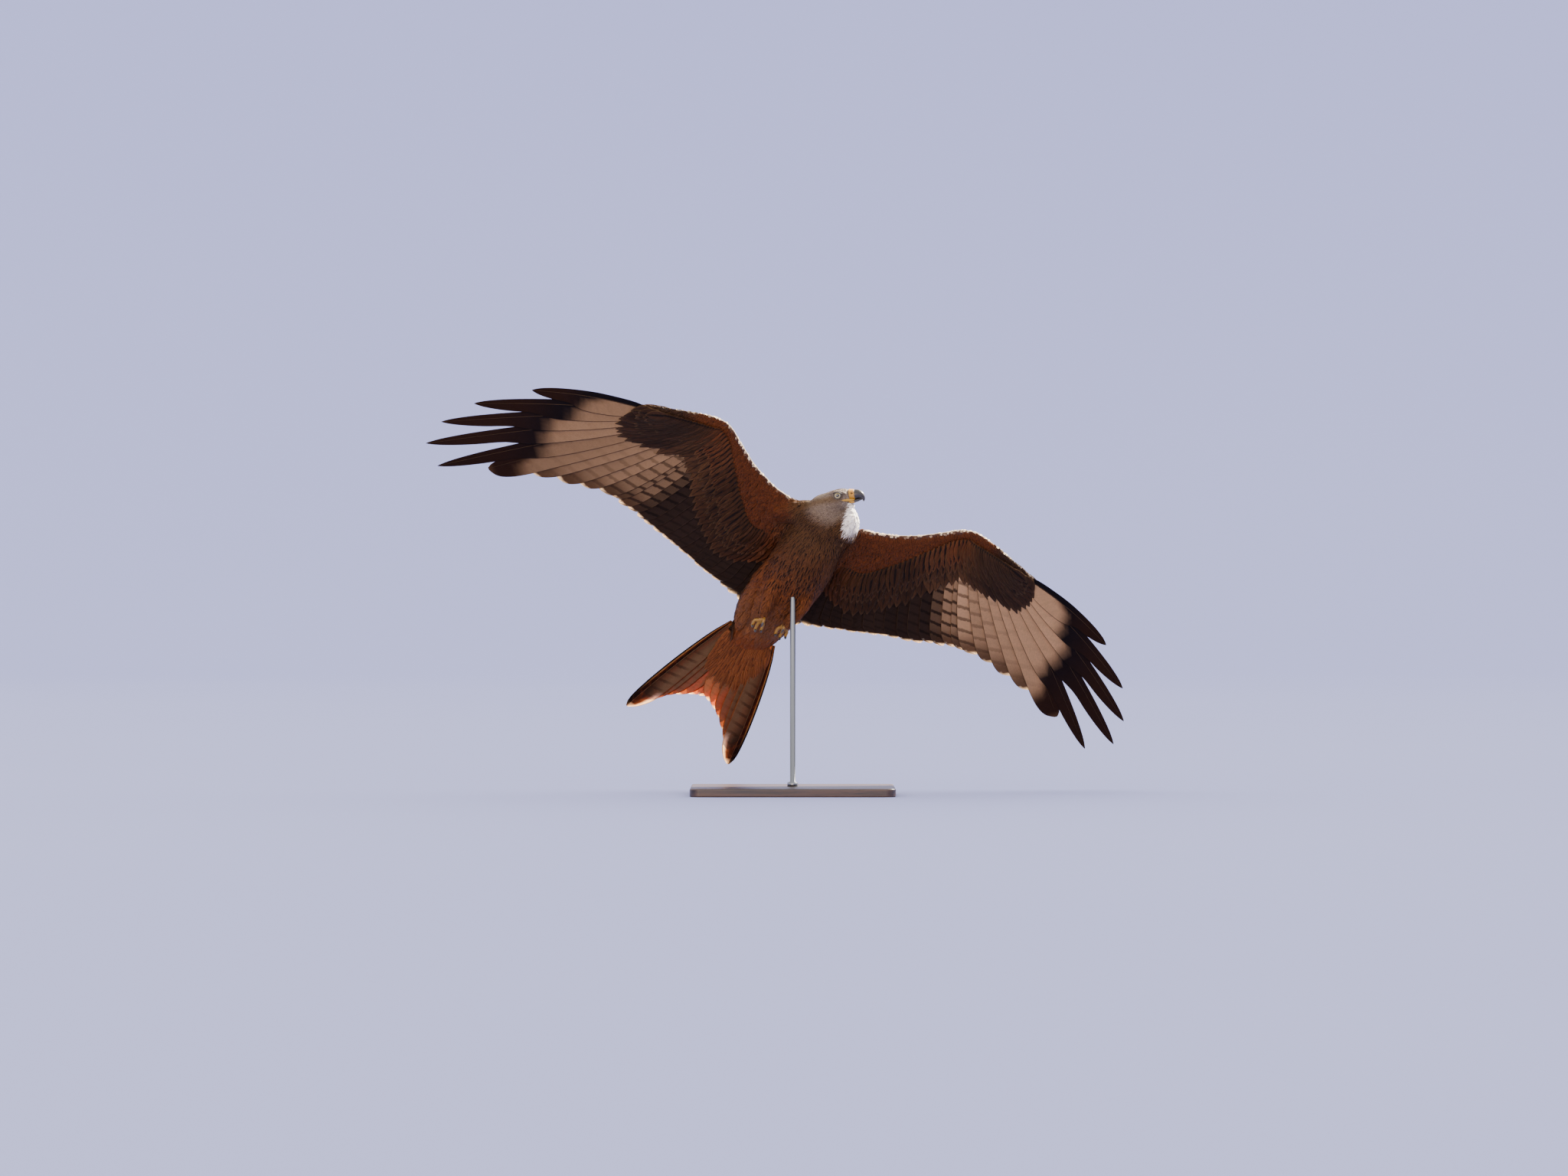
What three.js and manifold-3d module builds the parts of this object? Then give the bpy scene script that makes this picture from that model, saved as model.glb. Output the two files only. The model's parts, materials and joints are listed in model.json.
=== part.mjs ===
// A red kite gliding on a bank, life size, as a still museum model on a plain display stand.
// Millimetres, +Z up. The origin is the centre of the underside of the base.
// The bird is shaped in its own frame: x to its right, y forward, z towards its back.

import * as THREE from 'three';
import { mergeVertices } from 'three/addons/utils/BufferGeometryUtils.js';
import Module from 'manifold-3d';

const wasm = await Module();
wasm.setup();

// Attitude of the bird on its stand, degrees and millimetres
const HEADING = -140.8;
const CLIMB = 45.3;
const BANK = -33.9;
const BODY_CENTRE = [6, 32, 374];

// Spaces and sheet sizes shared by all pieces
const GAP = 0.3;
const VANE_THICKNESS = 0.7;
const SIDES = { right: 1, left: -1 };

// Trunk: rows of position along y, half width, back height, belly depth
const TRUNK = [
  [-150, 36, 19, -22], [-120, 43, 27, -33], [-80, 48, 34, -44], [-35, 53, 38, -54],
  [15, 55, 40, -58], [60, 51, 38, -50], [95, 44, 34, -38], [112, 41, 32, -34],
];
const TRUNK_FRONT = 104;
const TRUNK_REAR = -146;

// Head: centre in the bird's frame, and how it is turned in the room
const HEAD_CENTRE = [8.5, 152, 10];
const HEAD_HEADING = -102.9;
const HEAD_PITCH = 8.7;
// Rows of position along the head, half width, crown height, throat depth
const SKULL = [
  [-37, 4, 2, -6], [-33, 13, 8, -13], [-24, 20, 14, -20], [-9, 24, 18, -24],
  [6, 23.5, 19.5, -23], [16, 20.5, 19, -20], [25, 14.5, 16, -16], [30, 10.5, 13.4, -13],
];
const EYE_PLACE = [16.2, 12, 4.5];
const EYE_RADIUS = 7.2;
const EYE_TURN_FORWARD = 14;
const MOUTH_HEIGHT = -6.5;
const MOUTH_CORNER = 18;
const CERE_FRONT = 38;

// Wing flesh: rows of x, leading edge y, rear y, height, half thickness
const WING_FLESH = [
  [30, 100, 28, 17, 13], [60, 118, 2, 19, 13], [105, 127, -14, 22, 11.5], [148, 145, 26, 25, 10.5],
  [188, 172, 78, 28, 9.5], [216, 192, 116, 29.5, 9], [240, 197, 132, 30, 8.5], [275, 190, 130, 30.5, 7.5],
  [330, 171, 128, 31.5, 6], [366, 158, 134, 32, 3],
];
const WRIST_FRONT = [236, 205];
const WRIST_REAR = [342, -35];
const FINGER_RISE = 0.018;

// Flight feathers of one wing, from the wrist outward and from the wrist inward, as x and y
const PRIMARY_TIPS = [
  [354, -30], [390, -33], [428, -42], [472, -51], [536, -84],
  [611, -121], [648, -90], [641, -38], [609, 22], [538, 91],
];
const PRIMARY_ROOTS = [[247, 162], [350, 152]];
const PRIMARY_WIDTH = 48;
const SECONDARY_COUNT = 12;
const SECONDARY_TIPS = [[331, -32], [72, -104]];
const SECONDARY_ROOT_X = [240, 62];
const SECONDARY_WIDTH = 42;
const ROOT_DEPTH = 32;
const VANE_TILT = [8, 3.5];

// Outlines of vanes: rows of place along the shaft, front width, rear width, as shares of the full width
const FINGER_SHAPE = [
  [0, 0.12, 0.2], [0.25, 0.2, 0.5], [0.48, 0.22, 0.6], [0.6, 0.21, 0.52], [0.7, 0.2, 0.33],
  [0.9, 0.17, 0.28], [1, 0.04, 0.06],
];
const ROUND_SHAPE = [
  [0, 0.12, 0.2], [0.3, 0.25, 0.58], [0.84, 0.28, 0.64], [0.96, 0.2, 0.42], [1, 0.08, 0.14],
];
const COVERT_SHAPE = [[0, 0.15, 0.25], [0.68, 0.28, 0.6], [1, 0.09, 0.17]];

// Coverts, as tiers over the flight feathers: length share, width share, lift and start ahead of the root
const COVERT_TIERS = [
  { every: 1, length: 0.44, width: 0.9, lift: 4.3, ahead: 0 },
  { every: 2, length: 0.28, width: 0.8, lift: 7, ahead: 14 },
];

// Tail: turn and roll against the trunk, then its vanes as sideways and backward places
const TAIL_ROOT = [6, -138, -4];
const TAIL_TURN = 4;
const TAIL_ROLL = 6;
const TAIL_TIPS = [[11, 177], [30, 185], [49, 197], [68, 214], [86, 238], [101, 268]];
const TAIL_ROOTS = [[4, 14], [33, 14]];
const TAIL_WIDTH = 42;
const TAIL_COVERT_REACH = 96;
// Stump of the tail: rows of y, half width, top and bottom
const TAIL_STUMP = [
  [-208, 27, 1.5, -6], [-190, 33, 6, -11], [-168, 36, 12.5, -17], [-140, 38, 20, -23],
];

// Legs and feet, drawn up under the belly
const THIGH_TOP = [30, -8, -40];
const THIGH_END = [21, -76, -56];
const ANKLE = [20, -88, -58];
const TOE_SPREAD = 6.5;

// Stand
const BASE_SIZE = [340, 260, 14];
const BASE_CORNER = 16;
const BASE_EDGE = 1.5;
const ROD_RADIUS = 4.5;

const radians = THREE.MathUtils.degToRad;
const point = (x, y, z) => new THREE.Vector3(x, y, z);
const fromList = (list, side = 1) => point(list[0] * side, list[1], list[2]);

// Value of every column of a table of rows at one position, on a smooth curve
function rowAt(rows, position) {
  let next = 1;
  while (next < rows.length - 1 && rows[next][0] < position) next += 1;
  const a = rows[next - 1];
  const b = rows[next];
  const before = rows[Math.max(next - 2, 0)];
  const after = rows[Math.min(next + 1, rows.length - 1)];
  const span = b[0] - a[0];
  const u = (position - a[0]) / span;
  return a.map((value, k) => {
    const leaving = ((b[k] - before[k]) / (b[0] - before[0])) * span;
    const arriving = ((after[k] - value) / (after[0] - a[0])) * span;
    const start = (2 * u ** 3 - 3 * u ** 2 + 1) * value + (u ** 3 - 2 * u ** 2 + u) * leaving;
    return start + (3 * u ** 2 - 2 * u ** 3) * b[k] + (u ** 3 - u ** 2) * arriving;
  });
}

function evenSteps(from, to, count) {
  return Array.from({ length: count + 1 }, (unused, i) => from + ((to - from) * i) / count);
}

// Closed solid from vertices and triangles, turned outward if its volume comes out negative
function solidFrom(vertices, triangles) {
  let volume = 0;
  for (const [a, b, c] of triangles) {
    volume += vertices[a].dot(vertices[b].clone().cross(vertices[c]));
  }
  const faces = volume < 0 ? triangles.map(([a, b, c]) => [a, c, b]) : triangles;
  return new wasm.Manifold(new wasm.Mesh({
    numProp: 3,
    vertProperties: new Float32Array(vertices.flatMap((v) => v.toArray())),
    triVerts: new Uint32Array(faces.flat()),
  }));
}

// Solid through a row of rings with equal counts of points, closed by a fan at each end
function loft(rings) {
  const around = rings[0].length;
  const vertices = rings.flat();
  const triangles = [];
  for (let i = 0; i < rings.length - 1; i += 1) {
    for (let k = 0; k < around; k += 1) {
      const a = i * around + k;
      const b = i * around + ((k + 1) % around);
      triangles.push([a, b, b + around], [a, b + around, a + around]);
    }
  }
  for (const end of [0, rings.length - 1]) {
    const middle = rings[end].reduce((sum, v) => sum.add(v), point(0, 0, 0)).divideScalar(around);
    vertices.push(middle);
    for (let k = 0; k < around; k += 1) {
      const a = end * around + k;
      const b = end * around + ((k + 1) % around);
      triangles.push(end === 0 ? [b, a, vertices.length - 1] : [a, b, vertices.length - 1]);
    }
  }
  return solidFrom(vertices, triangles);
}

// Rounded sections along y: half width, top and bottom come from a table of rows
function bodyLoft(rows, steps, around, grow = 0, shift = () => [0, 0]) {
  const from = rows[0][0];
  const to = rows[rows.length - 1][0];
  return loft(evenSteps(from, to, steps).map((y) => {
    const [, halfWidth, top, bottom] = rowAt(rows, y);
    const [dx, dz] = shift(y);
    return evenSteps(0, 2 * Math.PI, around).slice(0, -1).map((angle) => {
      const height = (top - bottom) / 2 + grow;
      return point(
        dx + (halfWidth + grow) * Math.cos(angle),
        y,
        dz + (top + bottom) / 2 + height * Math.sin(angle),
      );
    });
  }));
}

// Round or oval tube along a smooth line, with a radius given at each of its points
function tubeLoft(points, radii, steps, around, flatness = 1) {
  const line = new THREE.CatmullRomCurve3(points);
  const frames = line.computeFrenetFrames(steps, false);
  return loft(evenSteps(0, 1, steps).map((t, i) => {
    const centre = line.getPoint(t);
    const place = t * (radii.length - 1);
    const index = Math.min(Math.floor(place), radii.length - 2);
    const radius = THREE.MathUtils.lerp(radii[index], radii[index + 1], place - index);
    return evenSteps(0, 2 * Math.PI, around).slice(0, -1).map((angle) => centre.clone()
      .addScaledVector(frames.normals[i], radius * Math.cos(angle))
      .addScaledVector(frames.binormals[i], radius * flatness * Math.sin(angle)));
  }));
}

function solidOf(geometry, matrix = new THREE.Matrix4()) {
  const bare = geometry.clone();
  bare.deleteAttribute('normal');
  bare.deleteAttribute('uv');
  const welded = mergeVertices(bare.applyMatrix4(matrix), 1e-4);
  const places = welded.getAttribute('position');
  const vertices = evenSteps(0, places.count - 1, places.count - 1)
    .map((i) => new THREE.Vector3().fromBufferAttribute(places, Math.round(i)));
  const indices = Array.from(welded.getIndex().array);
  const triangles = [];
  for (let i = 0; i < indices.length; i += 3) triangles.push(indices.slice(i, i + 3));
  return solidFrom(vertices, triangles.filter(([a, b, c]) => a !== b && b !== c && c !== a));
}

// Large block that fills one side of an upright plane through two points, and reaches past it
function halfSpace(first, second, towards, past) {
  const along = point(second[0] - first[0], second[1] - first[1], 0).normalize();
  const across = point(-along.y, along.x, 0).multiplyScalar(towards);
  const reach = 2000;
  const centre = point(first[0], first[1], 0).addScaledVector(across, reach / 2 - past);
  const turn = new THREE.Matrix4().makeBasis(along, point(-along.y, along.x, 0), point(0, 0, 1));
  turn.setPosition(centre);
  return solidOf(new THREE.BoxGeometry(reach, reach, reach), turn);
}

function joined(solids) {
  return solids.reduce((sum, solid) => sum.add(solid));
}

function largestPiece(solid) {
  return solid.decompose().reduce((best, piece) => (piece.volume() > best.volume() ? piece : best));
}

const MATERIALS = {
  rufous: { color: 0x7c4321, roughness: 0.85 },
  pale: { color: 0xb9b2a8, roughness: 0.85 },
  brown: { color: 0x3a2a20, roughness: 0.8 },
  yellow: { color: 0xd9a520, roughness: 0.5 },
  horn: { color: 0x1c1a19, roughness: 0.35 },
  iris: { color: 0xe6dfb8, roughness: 0.15 },
  steel: { color: 0x9a9da0, roughness: 0.35, metalness: 1 },
  paint: { color: 0x1f2022, roughness: 0.55 },
};

const model = new THREE.Group();
const bird = new THREE.Group();
const head = new THREE.Group();
model.add(bird);
bird.add(head);

function addNode(parent, name, solid, material) {
  const mesh = largestPiece(solid).getMesh();
  const geometry = new THREE.BufferGeometry();
  geometry.setAttribute('position', new THREE.BufferAttribute(mesh.vertProperties, 3));
  geometry.setIndex(new THREE.BufferAttribute(mesh.triVerts, 1));
  geometry.computeVertexNormals();
  const node = new THREE.Mesh(geometry, new THREE.MeshStandardMaterial(MATERIALS[material]));
  node.name = name;
  parent.add(node);
  return node;
}

// Attitudes: heading about the room's z, then climb, then bank about the bird's own y
bird.rotation.set(radians(CLIMB), radians(BANK), radians(HEADING), 'ZXY');
bird.position.set(...BODY_CENTRE);
bird.updateMatrixWorld(true);
const headTurn = new THREE.Quaternion()
  .setFromEuler(new THREE.Euler(radians(HEAD_PITCH), 0, radians(HEAD_HEADING), 'ZXY'));
head.quaternion.copy(bird.quaternion.clone().invert().multiply(headTurn));
head.position.set(...HEAD_CENTRE);
head.updateMatrix();

// Trunk
function trunkSolid(grow) {
  return bodyLoft(TRUNK, 12, 18, grow);
}

function torso() {
  const front = halfSpace([0, TRUNK_FRONT], [1, TRUNK_FRONT], 1, 0);
  const rear = halfSpace([0, TRUNK_REAR], [1, TRUNK_REAR], -1, 0);
  return trunkSolid(0).subtract(front).subtract(rear);
}

// Head, in its own frame
function skullSolid(grow) {
  return bodyLoft(SKULL, 10, 14, grow);
}

function eyeSolid(side, radius) {
  const ball = new THREE.SphereGeometry(radius, 12, 8);
  return solidOf(ball, new THREE.Matrix4().setPosition(fromList(EYE_PLACE, side)));
}

function headSolid() {
  let solid = skullSolid(0);
  for (const side of Object.values(SIDES)) {
    const facing = radians(90 - EYE_TURN_FORWARD) * side;
    const rim = new THREE.TorusGeometry(6.1, 1.5, 3, 11);
    const turn = new THREE.Matrix4().makeRotationZ(-side * radians(EYE_TURN_FORWARD))
      .multiply(new THREE.Matrix4().makeRotationY(Math.PI / 2));
    const outward = point(Math.sin(facing) * 4.4, Math.cos(facing) * 4.4, 0);
    turn.setPosition(fromList(EYE_PLACE, side).add(outward));
    solid = solid.add(solidOf(rim, turn));
    const brow = tubeLoft(
      [point(side * 15, 0, 11), point(side * 20.5, 8, 12.5), point(side * 18.5, 17, 11.5),
        point(side * 13, 25, 8.5)],
      [1.2, 2.6, 2.4, 1],
      5,
      6,
      1.4,
    );
    solid = solid.add(brow).subtract(eyeSolid(side, EYE_RADIUS + GAP));
  }
  const mouth = new THREE.BoxGeometry(60, 40, 0.8);
  const slot = new THREE.Matrix4().makeTranslation(0, MOUTH_CORNER + 20, MOUTH_HEIGHT);
  return solid.subtract(solidOf(mouth, slot));
}

// Yellow cere between the feathers and the horn of the bill, with a nostril on each side
const CERE_ROWS = [
  [30.3, 10.2, 13.2, -6.1], [34, 9, 12.6, -6.1], [38, 7.8, 11.6, -6.1],
];

function cereSolid() {
  let solid = bodyLoft(CERE_ROWS, 3, 14);
  for (const side of Object.values(SIDES)) {
    const nostril = new THREE.SphereGeometry(1, 6, 5);
    const place = new THREE.Matrix4().makeTranslation(side * 8.4, 34.6, 5.2);
    place.scale(point(1.6, 1.3, 2));
    solid = solid.subtract(solidOf(nostril, place));
  }
  return solid;
}

// Hooked upper bill: sections across a curved line, from the cere to the point of the hook
function upperBill() {
  const line = [
    [CERE_FRONT + GAP, 2.7, 8.8, 7.7], [43, 2.2, 8, 6.4], [47.2, 0, 6.6, 4.9],
    [50.2, -3.6, 4.6, 3.4], [51.4, -7.6, 2.6, 1.9], [51.2, -11, 0.6, 0.5],
  ];
  const rings = line.map(([y, z, height, halfWidth], i) => {
    const ahead = line[Math.min(i + 1, line.length - 1)];
    const behind = line[Math.max(i - 1, 0)];
    const slope = i === 0 ? 0 : Math.atan2(ahead[1] - behind[1], ahead[0] - behind[0]);
    return evenSteps(0, 2 * Math.PI, 12).slice(0, -1).map((angle) => point(
      halfWidth * Math.cos(angle),
      y - Math.sin(slope) * height * Math.sin(angle),
      z + Math.cos(slope) * height * Math.sin(angle),
    ));
  });
  return loft(rings);
}

const LOWER_BILL_ROWS = [
  [30.3, 9.4, -6.9, -12.8], [36, 7.4, -6.7, -12.4], [41, 5.4, -6.9, -11.4], [45.5, 2.2, -7.6, -9.6],
];

// Neck and throat, from the front of the trunk into the underside of the head:
// rows of share of the way, half width, half height
const NECK = [[0, 43, 35], [0.3, 44, 35], [0.6, 42.5, 32], [0.85, 37, 27], [1, 27, 21]];

function neckLoft(grow) {
  const inward = point(...HEAD_CENTRE);
  const line = new THREE.CatmullRomCurve3([
    point(0, TRUNK_FRONT - 8, -1), point(1, TRUNK_FRONT + 8, -1), point(5, 132, 4), inward,
  ]);
  const rings = evenSteps(0, 1, 6).map((t) => {
    const centre = line.getPoint(t);
    const [, halfWidth, halfHeight] = rowAt(NECK, t);
    return evenSteps(0, 2 * Math.PI, 18).slice(0, -1).map((angle) => point(
      centre.x + (halfWidth + grow) * Math.cos(angle),
      centre.y,
      centre.z + (halfHeight + grow) * Math.sin(angle),
    ));
  });
  return loft(rings);
}

function neckSolid() {
  const skullInBird = skullSolid(GAP).transform(head.matrix.toArray());
  const billInBird = bodyLoft(LOWER_BILL_ROWS, 4, 10, GAP).transform(head.matrix.toArray());
  const trunkSide = halfSpace([0, TRUNK_FRONT + GAP], [1, TRUNK_FRONT + GAP], -1, 0);
  return neckLoft(0).subtract(trunkSide).subtract(skullInBird).subtract(billInBird);
}

// One flat vane from root to tip. Its front edge is the one to the left of root to tip, seen from
// the back of the bird's right side, and is raised by the tilt so that neighbours stack.
function vane(root, tip, width, shape, side, bow = 0) {
  const along = tip.clone().sub(root).normalize();
  const level = point(-along.y, along.x, 0).multiplyScalar(side).normalize();
  const up = level.clone().cross(along).multiplyScalar(-side).normalize();
  const vertices = [];
  for (const [place, front, rear] of shape) {
    const tilt = radians(THREE.MathUtils.lerp(VANE_TILT[0], VANE_TILT[1], place));
    const across = level.clone().multiplyScalar(Math.cos(tilt)).addScaledVector(up, Math.sin(tilt));
    const normal = up.clone().multiplyScalar(Math.cos(tilt)).addScaledVector(level, -Math.sin(tilt));
    const centre = root.clone().lerp(tip, place).addScaledVector(level, bow * Math.sin(Math.PI * place));
    const frontEdge = centre.clone().addScaledVector(across, front * width);
    const rearEdge = centre.clone().addScaledVector(across, -rear * width);
    const half = VANE_THICKNESS / 2;
    vertices.push(
      frontEdge.clone().addScaledVector(normal, half),
      rearEdge.clone().addScaledVector(normal, half),
      rearEdge.clone().addScaledVector(normal, -half),
      frontEdge.clone().addScaledVector(normal, -half),
    );
  }
  const triangles = [[0, 1, 2], [0, 2, 3]];
  const end = vertices.length - 4;
  triangles.push([end, end + 2, end + 1], [end, end + 3, end + 2]);
  for (let i = 0; i < end; i += 4) {
    triangles.push([i, i + 5, i + 1], [i, i + 4, i + 5], [i + 1, i + 6, i + 2], [i + 1, i + 5, i + 6]);
    triangles.push([i + 2, i + 7, i + 3], [i + 2, i + 6, i + 7], [i + 3, i + 4, i], [i + 3, i + 7, i + 4]);
  }
  return solidFrom(vertices, triangles);
}

// Wing: an oval section of flesh, thick in front and thin behind, carried out along x
function wingFlesh(side) {
  const [first, last] = [WING_FLESH[0][0], WING_FLESH[WING_FLESH.length - 1][0]];
  return loft(evenSteps(first, last, 10).map((x) => {
    const [, lead, rear, height, halfThickness] = rowAt(WING_FLESH, x);
    return evenSteps(0, 2 * Math.PI, 10).slice(0, -1).map((angle) => {
      const back = (1 - Math.cos(angle)) / 2;
      const fullness = Math.sin(angle) * (1 - 0.5 * back);
      return point(side * x, THREE.MathUtils.lerp(lead, rear, back), height + fullness * halfThickness);
    });
  }));
}

function wingHeight(x) {
  const last = WING_FLESH[WING_FLESH.length - 1][0];
  return rowAt(WING_FLESH, Math.min(x, last))[3] + Math.max(x - last, 0) * FINGER_RISE;
}

// Root and tip of every flight feather of one wing, numbered outward for the hand, inward for the arm
function primaries(side) {
  return PRIMARY_TIPS.map(([x, y], i) => {
    const share = i / (PRIMARY_TIPS.length - 1);
    const rootX = THREE.MathUtils.lerp(PRIMARY_ROOTS[0][0], PRIMARY_ROOTS[1][0], share);
    const rootY = THREE.MathUtils.lerp(PRIMARY_ROOTS[0][1], PRIMARY_ROOTS[1][1], share);
    return {
      root: point(side * rootX, rootY, wingHeight(rootX)),
      tip: point(side * x, y, wingHeight(x)),
      width: PRIMARY_WIDTH,
      shape: i < 5 ? ROUND_SHAPE : FINGER_SHAPE,
      bow: 7 * share,
    };
  });
}

function secondaries(side) {
  return evenSteps(0, 1, SECONDARY_COUNT - 1).map((share) => {
    const rootX = THREE.MathUtils.lerp(SECONDARY_ROOT_X[0], SECONDARY_ROOT_X[1], share);
    const rootY = rowAt(WING_FLESH, rootX)[2] + ROOT_DEPTH;
    const x = THREE.MathUtils.lerp(SECONDARY_TIPS[0][0], SECONDARY_TIPS[1][0], share);
    const y = THREE.MathUtils.lerp(SECONDARY_TIPS[0][1], SECONDARY_TIPS[1][1], share);
    return {
      root: point(side * rootX, rootY, wingHeight(rootX)),
      tip: point(side * x, y, wingHeight(x)),
      width: SECONDARY_WIDTH,
      shape: ROUND_SHAPE,
      bow: 0,
    };
  });
}

// The flight feathers of one row, with their tiers of coverts above and below
function feathered(feathers, side) {
  const solids = feathers.map((f) => vane(f.root, f.tip, f.width, f.shape, side, f.bow));
  for (const tier of COVERT_TIERS) {
    for (const over of [1, -1]) {
      feathers.filter((f, i) => i % tier.every === 0).forEach((f) => {
        const along = f.tip.clone().sub(f.root);
        const start = f.root.clone().addScaledVector(along.clone().normalize(), -tier.ahead);
        const lift = point(0, 0, over * tier.lift);
        const end = f.root.clone().addScaledVector(along, tier.length);
        solids.push(vane(start.add(lift), end.add(lift), f.width * tier.width, COVERT_SHAPE, side));
      });
    }
  }
  return solids;
}

function wingNodes(name, side) {
  const front = [WRIST_FRONT[0] * side, WRIST_FRONT[1]];
  const rear = [WRIST_REAR[0] * side, WRIST_REAR[1]];
  const outer = halfSpace(front, rear, side, GAP / 2);
  const inner = halfSpace(front, rear, -side, GAP / 2);
  const flesh = wingFlesh(side);
  const arm = joined([flesh, ...feathered(secondaries(side), side)])
    .subtract(outer).subtract(trunkSolid(GAP)).subtract(neckLoft(GAP));
  const hand = joined([flesh, ...feathered(primaries(side), side)]).subtract(inner);
  addNode(bird, `wing_${name}_arm`, arm, 'brown');
  addNode(bird, `wing_${name}_hand`, hand, 'brown');
}

// Tail, in a frame of its own that is turned and rolled against the trunk
const tailFrame = new THREE.Matrix4()
  .makeRotationFromEuler(new THREE.Euler(0, -radians(TAIL_ROLL), radians(TAIL_TURN), 'ZXY'))
  .setPosition(...TAIL_ROOT);

function tailPoint(side, [across, back], lift = 0) {
  return point(side * across, -back, lift).applyMatrix4(tailFrame);
}

function tailVanes(side) {
  const solids = [];
  TAIL_TIPS.forEach((tip, i) => {
    const share = i / (TAIL_TIPS.length - 1);
    const root = TAIL_ROOTS[0].map((value, k) => THREE.MathUtils.lerp(value, TAIL_ROOTS[1][k], share));
    solids.push(vane(tailPoint(side, root), tailPoint(side, tip), TAIL_WIDTH, ROUND_SHAPE, side, 3 * share));
    if (i % 2 === 1) return;
    const reach = (TAIL_COVERT_REACH - 16 * share - root[1]) / (tip[1] - root[1]);
    const end = root.map((value, k) => THREE.MathUtils.lerp(value, tip[k], reach));
    for (const lift of [3.6, -3.6]) {
      const [start, stop] = [tailPoint(side, root, lift), tailPoint(side, end, lift)];
      solids.push(vane(start, stop, TAIL_WIDTH * 0.8, COVERT_SHAPE, side));
    }
  });
  return solids;
}

function tailNode(name, side) {
  const root = point(0, 0, 0).applyMatrix4(tailFrame);
  const end = point(0, -100, 0).applyMatrix4(tailFrame);
  const otherSide = halfSpace([root.x, root.y], [end.x, end.y], -side, GAP / 2);
  const trunkSide = halfSpace([0, TRUNK_REAR - GAP], [1, TRUNK_REAR - GAP], 1, 0);
  const lean = Math.tan(radians(TAIL_TURN));
  const stump = bodyLoft(TAIL_STUMP, 4, 14, 0, (y) => [TAIL_ROOT[0] - (y - TAIL_ROOT[1]) * lean, 0]);
  const whole = joined([stump, ...tailVanes(side)]);
  addNode(bird, `tail_${name}`, whole.subtract(otherSide).subtract(trunkSide), 'rufous');
}

// Legs: a feathered thigh, a bare foot with curled toes, and a claw on every toe
function thighSolid(side, grow = 0) {
  const line = [THIGH_TOP, [27, -42, -53], THIGH_END].map((list) => fromList(list, side));
  return tubeLoft(line, [14 + grow, 15 + grow, 11 + grow, 6.5 + grow], 6, 10);
}

// Each toe: sideways start, then points of its curl as distance behind the ankle and below it
const TOES = [
  { across: 0, curl: [[-2, 0], [8, 3], [16, 2], [20, -3]], claw: [[19.2, -1.4], [22.2, -7], [20, -12.5]] },
  { across: 1, curl: [[-2, 0], [7, 2.5], [13, 2], [17, -2]], claw: [[16.2, -0.6], [19, -5.5], [17.4, -10]] },
  { across: -1, curl: [[-2, 0], [7, 2.5], [13, 2], [17, -2]], claw: [[16.2, -0.6], [19, -5.5], [17.4, -10]] },
  { across: -1.9, curl: [[-3, 0], [-4, 7], [1, 10], [6, 9]], claw: [[4.6, 9.6], [10.5, 8], [13.5, 3.5]] },
];

function toePoint(side, toe, [back, below]) {
  const across = toe.across * TOE_SPREAD * (1 + 0.02 * back);
  return point(side * (ANKLE[0] + across), ANKLE[1] - back, ANKLE[2] - below);
}

function footSolid(side) {
  const shank = [point(side * THIGH_END[0], THIGH_END[1] + 4, THIGH_END[2]), fromList(ANKLE, side)];
  let solid = tubeLoft([shank[0], shank[0].clone().lerp(shank[1], 0.5), shank[1]], [4, 4, 5.5], 2, 8);
  for (const toe of TOES) {
    const line = toe.curl.map((place) => toePoint(side, toe, place));
    solid = solid.add(tubeLoft([fromList(ANKLE, side), ...line.slice(1)], [4.4, 3.8, 3.2, 2.9], 3, 6))
      .subtract(clawSolid(side, toe, GAP));
  }
  return solid.subtract(thighSolid(side, GAP)).subtract(trunkSolid(GAP));
}

function clawSolid(side, toe, grow = 0) {
  const line = toe.claw.map((place) => toePoint(side, toe, place));
  return tubeLoft(line, [1.9 + grow, 1.5 + grow, 0.35 + grow], 3, 5);
}

// Stand: a base plate with rounded corners and a rod that ends against the belly
function baseSolid() {
  const [length, width, thickness] = BASE_SIZE;
  const outline = new THREE.Shape();
  const [x, y, r] = [length / 2 - BASE_EDGE, width / 2 - BASE_EDGE, BASE_CORNER];
  outline.moveTo(-x + r, -y);
  outline.lineTo(x - r, -y);
  outline.absarc(x - r, -y + r, r, -Math.PI / 2, 0);
  outline.lineTo(x, y - r);
  outline.absarc(x - r, y - r, r, 0, Math.PI / 2);
  outline.lineTo(-x + r, y);
  outline.absarc(-x + r, y - r, r, Math.PI / 2, Math.PI);
  outline.lineTo(-x, -y + r);
  outline.absarc(-x + r, -y + r, r, Math.PI, 1.5 * Math.PI);
  const plate = new THREE.ExtrudeGeometry(outline, {
    depth: thickness - 2 * BASE_EDGE,
    bevelThickness: BASE_EDGE,
    bevelSize: BASE_EDGE,
    bevelSegments: 1,
    curveSegments: 2,
  });
  return solidOf(plate, new THREE.Matrix4().setPosition(0, 0, BASE_EDGE));
}

function rodSolid() {
  const bottom = BASE_SIZE[2] + GAP;
  const top = BODY_CENTRE[2];
  const rod = new THREE.CylinderGeometry(ROD_RADIUS, ROD_RADIUS, top - bottom, 16);
  const upright = new THREE.Matrix4().makeRotationX(Math.PI / 2).setPosition(0, 0, (top + bottom) / 2);
  const trunkInRoom = trunkSolid(GAP).transform(bird.matrixWorld.toArray());
  return solidOf(rod, upright).subtract(trunkInRoom);
}

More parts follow.
